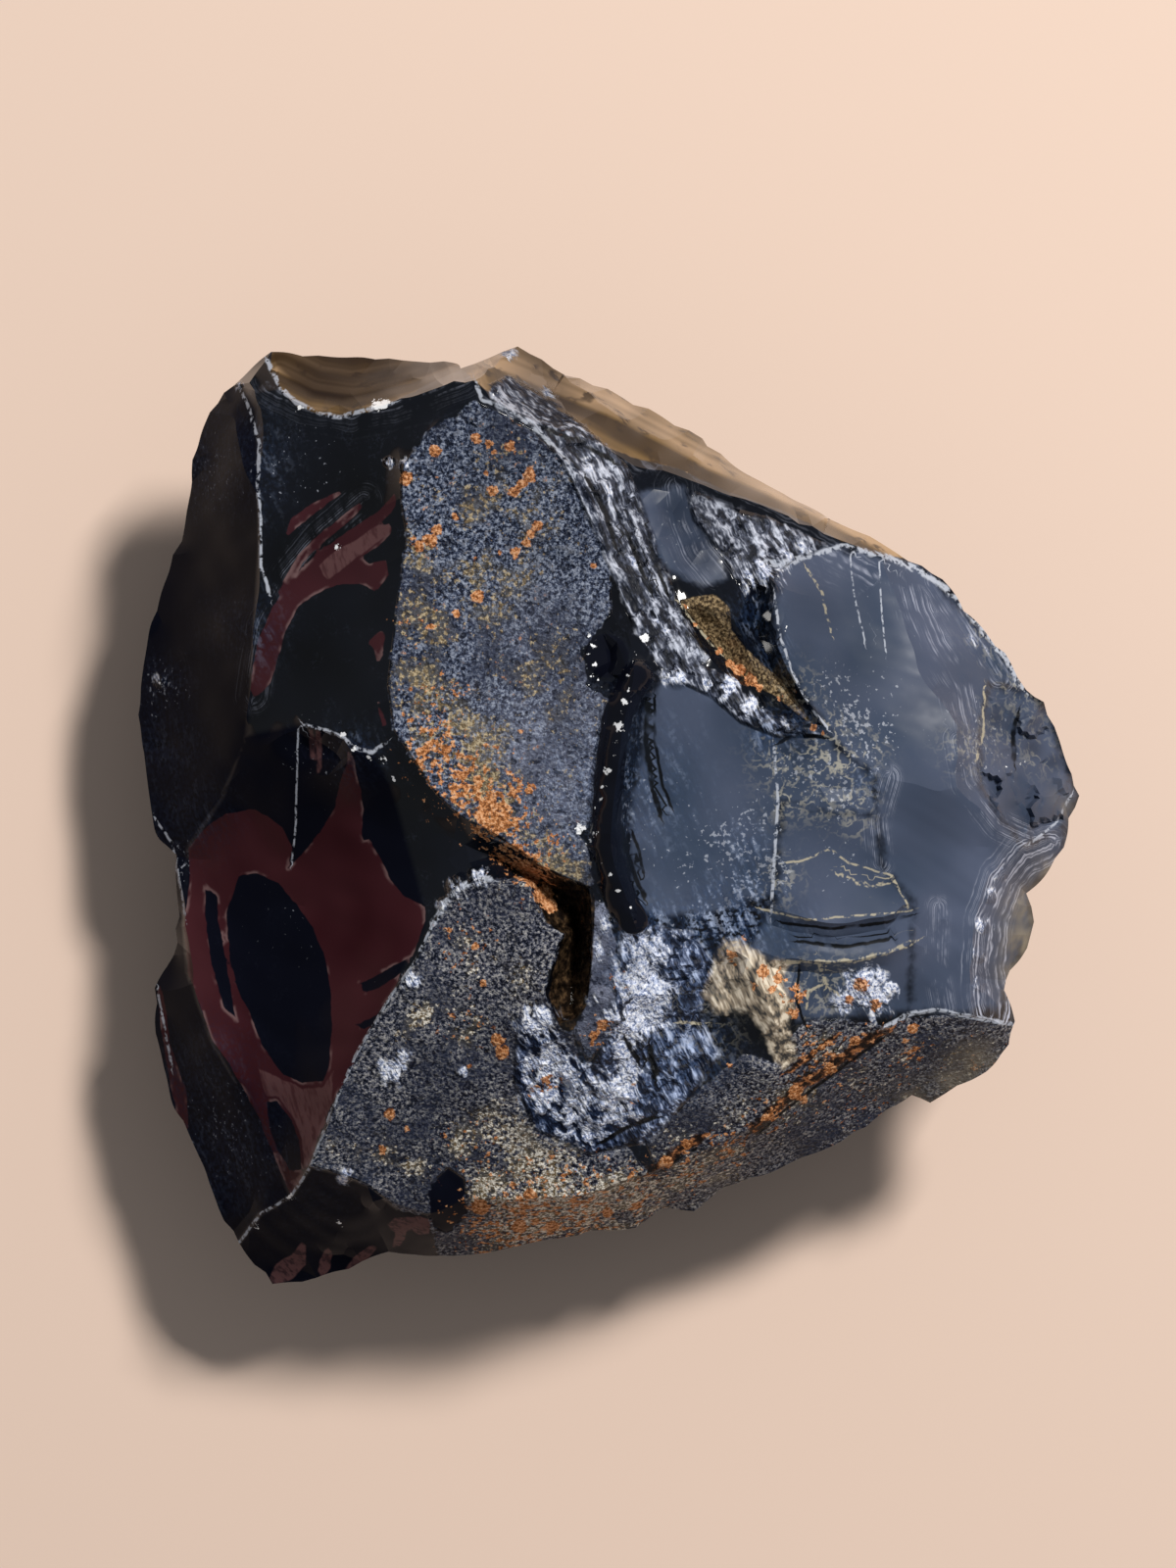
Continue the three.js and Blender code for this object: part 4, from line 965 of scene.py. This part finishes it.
class Grains:
    """The noises that the material's colours and relief share, by grain size in millimetres."""

    def __init__(self, s):
        self.grit = s.noise(0.28, 2, 0.70)
        self.flecks = s.noise(0.38, 2, 0.55)
        self.grain = s.noise(0.66, 2, 0.68)
        self.clots = s.noise(1.5, 2, 0.6)
        self.patches = s.noise(2.6, 2, 0.62)
        self.clouds = s.noise(8, 1, 0.55)
        self.fibres = s.noise(0.60, 2, 0.68, along=(0.42, -0.9), stretch=4.5)
        self.ragged = s.centred(s.noise(1.2, 2, 0.62), 16.0)
        self.small_ragged = s.centred(s.noise(1.6, 2, 0.6), 5.0)
        self.wobble = s.centred(s.noise(1.0, 2, 0.6), 2.4)


class Masks:
    """Where each kind of skin and line lies, from 0 to 1, and the depth in the painted red-brown reflections.
    """

    def __init__(self, s, n):
        breaks = s.span(n.grain, 0.40, 0.54)
        self.rind = s.inside("rind", n.ragged, -1.0, 1.5)
        self.satin = s.inside("satin", n.ragged, -4.0, 8.0)
        self.crushed = s.inside("crushed", n.ragged, -2.0, 3.0)
        self.rope = s.inside("rope", n.small_ragged)
        self.dull = s.span(s.zone("dull"), -4, 4)
        self.red_depth = s.plus(s.zone("red_reflection"), n.small_ragged)
        self.red = s.span(self.red_depth, -0.6, 0.6)
        self.crack = s.lines("crack", n.wobble, s.span(n.patches, 0.3, 0.45))
        self.chip = s.lines("chip", n.wobble, breaks)
        self.cream = s.lines("cream", s.times(n.wobble, 1.8), breaks)
        self.vein = s.lines("vein", n.wobble, 1.0)
        net = s.times(s.span(s.crazing(1.3), 0.13, 0.03), s.span(n.patches, 0.34, 0.48))
        self.net = s.times(net, s.times(s.zone("crumple"), breaks), clamp=True)
        level = s.plus(s.zone("white"), s.plus(s.centred(n.fibres, 2.0), s.centred(n.patches, 2.2)))
        self.white = s.times(s.span(level, 0.36, 0.78), s.span(s.zone("white"), 0.08, 0.3))
        level = s.plus(s.zone("bead"), s.centred(n.grain, 1.1))
        beads = s.times(s.span(level, 0.5, 0.62), s.span(s.zone("bead"), 0.1, 0.3))
        self.rust = s.most(s.strewn("rust", n.grain, 0.70, 0.76), beads)


def glass_color(s, n, m):
    """Black glass with dust on it, and satin glass whose grey-blue is a painted sheen."""
    black = s.ramp(n.clouds, (0.35, 0.0015, 0.0018, 0.003), (0.65, 0.004, 0.005, 0.009))
    dust = s.times(s.span(n.patches, 0.52, 0.70), s.span(n.grit, 0.48, 0.64, 0.0, 0.35))
    black = s.mix(dust, black, (0.024, 0.029, 0.048))
    black = s.mix(s.times(m.dull, 0.8), black, (0.0045, 0.0052, 0.0115))
    # painted sheen: the satin glass is coloured grey-blue for the pale light its rough face mirrors
    grey = s.ramp(n.clouds, (0.32, 0.037, 0.055, 0.094), (0.68, 0.077, 0.096, 0.152))
    color = s.mix(m.satin, black, grey)
    return s.mix(s.times(s.strewn("fleck", n.flecks, 0.74, 0.82), 0.7), color, (0.40, 0.43, 0.50))


def add_sheen_streaks(s, n, m, color):
    """Painted sheen: pale streaks of light along the glass, and finer ones on the curled sheet."""
    shaken = s.plus(s.zone("sheen_streak_offset"), s.centred(n.patches, 0.5))
    broken = s.span(s.plus(n.patches, s.centred(n.fibres, 0.6)), 0.40, 0.66)
    sheen_streaks = s.times(s.span(s.stripes(shaken, 0.24), 0.46, 0.64), broken)
    sheen_streaks = s.times(sheen_streaks, s.span(s.zone("sheen_streak_presence"), 0.45, 0.95))
    color = s.mix(s.times(sheen_streaks, s.blend(m.satin, 0.25, 0.75)), color, (0.34, 0.37, 0.47))
    # painted sheen on the curled sheet
    shaken = s.plus(s.zone("sheet_offset"), s.centred(n.patches, 0.7))
    sheet = s.times(s.span(s.stripes(shaken, 0.17), 0.46, 0.66), s.span(s.zone("sheet_presence"), 0.75, 1.0))
    return s.mix(s.times(sheet, s.span(n.clots, 0.36, 0.58, 0.1, 0.95)), color, (0.46, 0.49, 0.60))


def add_red_reflection(s, n, m, color):
    """Painted red-brown reflections in the black glass, with a pale hem along part of their border, and their
    paler blades.
    """
    red = s.ramp(n.clouds, (0.35, 0.037, 0.0085, 0.0120), (0.65, 0.057, 0.016, 0.0205))
    hem = s.times(s.span(m.red_depth, -1.2, 0.4), s.span(m.red_depth, 3.6, 0.6))
    hem = s.times(hem, s.span(n.patches, 0.50, 0.62, 0.0, 0.6))
    color = s.mix(m.red, color, s.mix(hem, red, (0.24, 0.15, 0.15)))
    # paler painted reflections
    pale = s.times(s.inside("pale_red_reflection", n.small_ragged), s.span(n.fibres, 0.36, 0.55, 0.35, 0.9))
    return s.mix(pale, color, (0.125, 0.060, 0.062))


def add_golden_reflection(s, n, color):
    """Painted golden-brown reflection of the warm floor on the thin upper flanks: dark in the hollow, golden
    towards the edges.
    """
    streaks = s.plus(s.stripes(s.zone("sheen_streak_offset"), 0.8), s.centred(n.clouds, 0.5))
    golden_reflection = s.ramp(streaks, (0.34, 0.05, 0.029, 0.012), (0.48, 0.15, 0.09, 0.034), (0.66, 0.44, 0.29, 0.165))
    dark = s.times(s.span(n.patches, 0.55, 0.66), s.span(n.fibres, 0.40, 0.55, 0.0, 0.8))
    golden_reflection = s.mix(dark, golden_reflection, (0.030, 0.018, 0.010))
    golden_reflection = s.mix(s.span(s.zone("dull"), -4, 6, 0.0, 0.85), golden_reflection, (0.022, 0.012, 0.006))
    return s.mix(s.inside("golden_reflection", n.small_ragged), color, golden_reflection)


def add_rind(s, n, m, color):
    """Rind: black pores and pale grains on slate, darker and browner where it is crusted."""
    slate = s.ramp(n.grit, (0.40, 0.004, 0.006, 0.016), (0.50, 0.053, 0.071, 0.124), (0.66, 0.32, 0.36, 0.45))
    crust = s.ramp(n.grit, (0.41, 0.004, 0.006, 0.014), (0.50, 0.076, 0.083, 0.120), (0.66, 0.40, 0.39, 0.38))
    slate = s.mix(s.span(n.grain, 0.56, 0.68, 0.0, 0.55), slate, (0.21, 0.225, 0.27))
    slate = s.mix(s.times(s.zone("bloom"), 0.9, clamp=True), slate, (0.235, 0.25, 0.335))
    rind = s.mix(s.inside("crust", n.ragged, -4, 4), slate, crust)
    mottle = s.times(s.span(n.clouds, 0.44, 0.60), s.span(n.patches, 0.40, 0.56, 0.15, 0.75))
    rind = s.mix(mottle, rind, (0.024, 0.030, 0.055))
    rind = s.mix(s.span(n.grain, 0.44, 0.34, 0.0, 0.75), rind, (0.004, 0.005, 0.012))
    olive = s.times(s.span(n.patches, 0.48, 0.62), s.span(s.zone("pale_grit"), 0.15, 0.7, 0.0, 0.45))
    rind = s.mix(olive, rind, (0.17, 0.145, 0.09))
    return s.mix(m.rind, color, add_grit(s, n, rind))


def add_grit(s, n, rind):
    """Cream grit strewn on the rind, whiter on the crust."""
    pale = s.mix(s.span(s.zone("crust"), -4, 4), (0.52, 0.42, 0.26), (0.90, 0.85, 0.75))
    pale = s.mix(s.span(n.grit, 0.42, 0.6), (0.19, 0.135, 0.07), pale)
    grit = s.strewn("pale_grit", s.plus(n.flecks, s.centred(n.patches, 0.5)), 0.72, 0.84)
    return s.mix(s.times(grit, 0.85), rind, pale)


def add_broken(s, n, m, color):
    """Crushed glass with its blue heart, the ochre gully, the brown pit under painted shadow, and the tan
    fold.
    """
    clumped = s.plus(n.fibres, s.plus(s.centred(n.patches, 0.55), s.centred(n.flecks, 0.3)))
    frost = s.ramp(clumped, (0.39, 0.006, 0.008, 0.015), (0.51, 0.062, 0.073, 0.11), (0.68, 0.56, 0.60, 0.71))
    heart = s.ramp(clumped, (0.41, 0.005, 0.009, 0.024), (0.53, 0.06, 0.088, 0.175), (0.67, 0.44, 0.52, 0.72))
    color = s.mix(m.crushed, color, s.mix(s.span(s.zone("heart"), -4, 8), frost, heart))
    ochre = s.ramp(n.grit, (0.38, 0.022, 0.015, 0.009), (0.50, 0.110, 0.075, 0.038), (0.66, 0.34, 0.25, 0.14))
    color = s.mix(s.inside("gully", n.small_ragged), color, ochre)
    # painted shadow over the brown rind in the pit
    brown = s.ramp(n.grain, (0.42, 0.006, 0.004, 0.003), (0.56, 0.03, 0.018, 0.01), (0.70, 0.10, 0.06, 0.03))
    color = s.mix(s.inside("pit", n.small_ragged), color, brown)
    fold = s.ramp(n.fibres, (0.38, 0.060, 0.056, 0.052), (0.50, 0.36, 0.29, 0.21), (0.62, 0.82, 0.72, 0.57))
    return s.mix(s.inside("tan", n.ragged, -4, 4), color, fold)


def add_frost(s, n, m, color):
    """The crumpled glass's net of pale cracks, white powder with painted highlights in places, and a blue
    tint, in places a painted sheen.
    """
    color = s.mix(s.times(m.net, 0.85), color, (0.46, 0.44, 0.37))
    powder = s.ramp(n.grit, (0.37, 0.13, 0.17, 0.30), (0.48, 0.56, 0.62, 0.80), (0.60, 0.92, 0.94, 1.00))
    color = s.mix(m.white, color, powder)
    haze_and_sheen = s.times(s.zone("haze_and_sheen"), s.span(n.flecks, 0.36, 0.60), clamp=True)
    blue = s.ramp(n.fibres, (0.38, 0.008, 0.018, 0.05), (0.52, 0.05, 0.09, 0.19), (0.66, 0.36, 0.45, 0.66))
    blue = s.mix(s.times(m.dull, 0.9), blue, (0.010, 0.013, 0.030))
    return s.mix(s.times(haze_and_sheen, 0.85), color, blue)


def add_lines(s, n, m, color):
    """Rusty veins, dark cracks, cream lines, chipped arrises and the black rope of glass."""
    rusty = s.ramp(n.grain, (0.42, 0.01, 0.006, 0.005), (0.52, 0.06, 0.026, 0.014), (0.62, 0.42, 0.17, 0.07))
    color = s.mix(m.vein, color, rusty)
    color = s.mix(m.crack, color, (0.003, 0.004, 0.006))
    color = s.mix(s.times(m.cream, 0.8), color, (0.50, 0.45, 0.33))
    color = s.mix(s.times(m.chip, 0.8), color, (0.52, 0.56, 0.65))
    return s.mix(m.rope, color, (0.0035, 0.0042, 0.009))


def add_rust(s, n, m, color):
    """Rust in grains and beads."""
    rust = s.ramp(n.grit, (0.38, 0.16, 0.055, 0.02), (0.50, 0.52, 0.20, 0.065), (0.64, 0.82, 0.46, 0.25))
    return s.mix(s.times(m.rust, 0.95), color, rust)


def add_light(s, n, color):
    """Painted shade, painted light shining through the thin brown edges, and painted glints."""
    color = s.mix(s.times(s.zone("shade"), 0.8), color, (0.006, 0.009, 0.017))
    # painted light through the thin edges
    lit_thin_edge = s.times(s.zone("lit_thin_edge"), s.span(n.patches, 0.35, 0.6, 0.3, 1.0), clamp=True)
    color = s.mix(lit_thin_edge, color, (0.27, 0.23, 0.17))
    # painted highlights: the white glints
    glint = s.span(s.plus(s.zone("glint"), s.centred(n.flecks, 2.2)), 0.72, 0.88)
    return s.mix(glint, color, (0.95, 0.97, 1.0))


def roughness(s, n, m):
    """Polished black glass, satin glass, and powdery rind, frost and rust."""
    glass = s.blend(m.satin, s.span(n.patches, 0.3, 0.7, 0.04, 0.10), s.span(n.patches, 0.3, 0.7, 0.36, 0.5))
    powder = s.most(s.most(m.white, m.crushed), s.most(m.chip, m.rind))
    rough = s.blend(powder, glass, s.span(n.grain, 0.35, 0.65, 0.5, 0.8))
    return s.blend(m.rope, s.blend(m.rust, rough, 0.9), 0.06)


def specular(s, m):
    """How strongly each kind of skin mirrors."""
    level = s.blend(s.inside("golden_reflection", 0.0), s.blend(m.satin, 0.34, 0.14), 0.15)
    for mask, value in ((m.red, 0.2), (m.dull, 0.02), (m.rind, 0.08), (m.rope, 0.2)):
        level = s.blend(mask, level, value)
    return level


def fine_bump(s, n):
    """Relief that is too fine for the mesh, in millimetres."""
    grains = s.plus(s.times(n.grain, 0.24), s.times(n.grit, 0.14))
    height = s.blend(s.span(s.zone("rind"), -1.0, 2.0), s.times(s.noise(6, 1, 0.5), 0.08), grains)
    shattered = s.most(s.span(s.zone("crushed"), -2.0, 3.0), s.span(s.zone("white"), 0.2, 0.6))
    height = s.plus(height, s.times(shattered, s.times(n.fibres, 0.55)))
    return s.add("ShaderNodeBump", {"Strength": 1.0, "Distance": 0.001, "Height": height}).outputs[0]


def obsidian_material():
    s = Shader("obsidian")
    n = Grains(s)
    m = Masks(s, n)
    color = glass_color(s, n, m)
    color = add_sheen_streaks(s, n, m, color)
    color = add_red_reflection(s, n, m, color)
    color = add_golden_reflection(s, n, color)
    for add_layer in (add_rind, add_broken, add_frost, add_lines, add_rust):
        color = add_layer(s, n, m, color)
    color = add_light(s, n, color)
    return s.surface({
        "Base Color": color, "Roughness": roughness(s, n, m), "Normal": fine_bump(s, n),
        "Specular IOR Level": specular(s, m), "IOR": 1.5,
    })


def floor_material():
    return Shader("floor").surface({"Base Color": (0.80, 0.61, 0.50, 1), "Roughness": 0.6})


def make_camera():
    """Looks straight down, framed as the picture is."""
    camera = bpy.data.objects.new("camera", bpy.data.cameras.new("camera"))
    x = (FRAME_SIZE[0] / 2 - PLAN_ORIGIN[0]) * PIXEL
    y = (PLAN_ORIGIN[1] - FRAME_SIZE[1] / 2) * PIXEL
    camera.location = (x, y, EYE_HEIGHT)
    camera.data.sensor_width = 36
    camera.data.lens = 36 * (EYE_HEIGHT - FOCUS_HEIGHT) / (FRAME_SIZE[1] * PIXEL)
    camera.data.clip_end = 20
    bpy.context.scene.collection.objects.link(camera)
    bpy.context.scene.camera = camera


def make_key_light():
    """A soft panel that faces the stone."""
    data = bpy.data.lights.new("key", "AREA")
    data.shape = "RECTANGLE"
    data.size = data.size_y = KEY_SIZE
    data.energy = KEY_WATTS
    data.color = (1.0, 0.97, 0.93)
    light = bpy.data.objects.new("key", data)
    light.location = KEY_PLACE
    light.rotation_euler = (-light.location).to_track_quat("-Z", "Y").to_euler()
    bpy.context.scene.collection.objects.link(light)


def make_studio():
    """A pale floor, one soft light and a pale sky."""
    mesh = bpy.data.meshes.new("floor")
    corners = [(-FLOOR_REACH, -FLOOR_REACH, 0), (FLOOR_REACH, -FLOOR_REACH, 0)]
    corners += [(FLOOR_REACH, FLOOR_REACH, 0), (-FLOOR_REACH, FLOOR_REACH, 0)]
    mesh.from_pydata(corners, [], [(0, 1, 2, 3)])
    mesh.materials.append(floor_material())
    floor = bpy.data.objects.new("floor", mesh)
    bpy.context.scene.collection.objects.link(floor)
    make_key_light()
    world = bpy.data.worlds.new("studio")
    world.use_nodes = True
    sky = world.node_tree.nodes["Background"]
    sky.inputs["Color"].default_value = (0.9, 0.95, 1.0, 1)
    sky.inputs["Strength"].default_value = 0.20
    bpy.context.scene.world = world
    bpy.context.scene.view_settings.view_transform = "Standard"


def main():
    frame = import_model()
    make_camera()
    make_studio()
    node = frame["nodes"]["obsidian_chunk"]
    stone = make_stone(node)
    stone.data.materials.append(obsidian_material())
    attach(stone, "root")
    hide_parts("obsidian_chunk")


main()
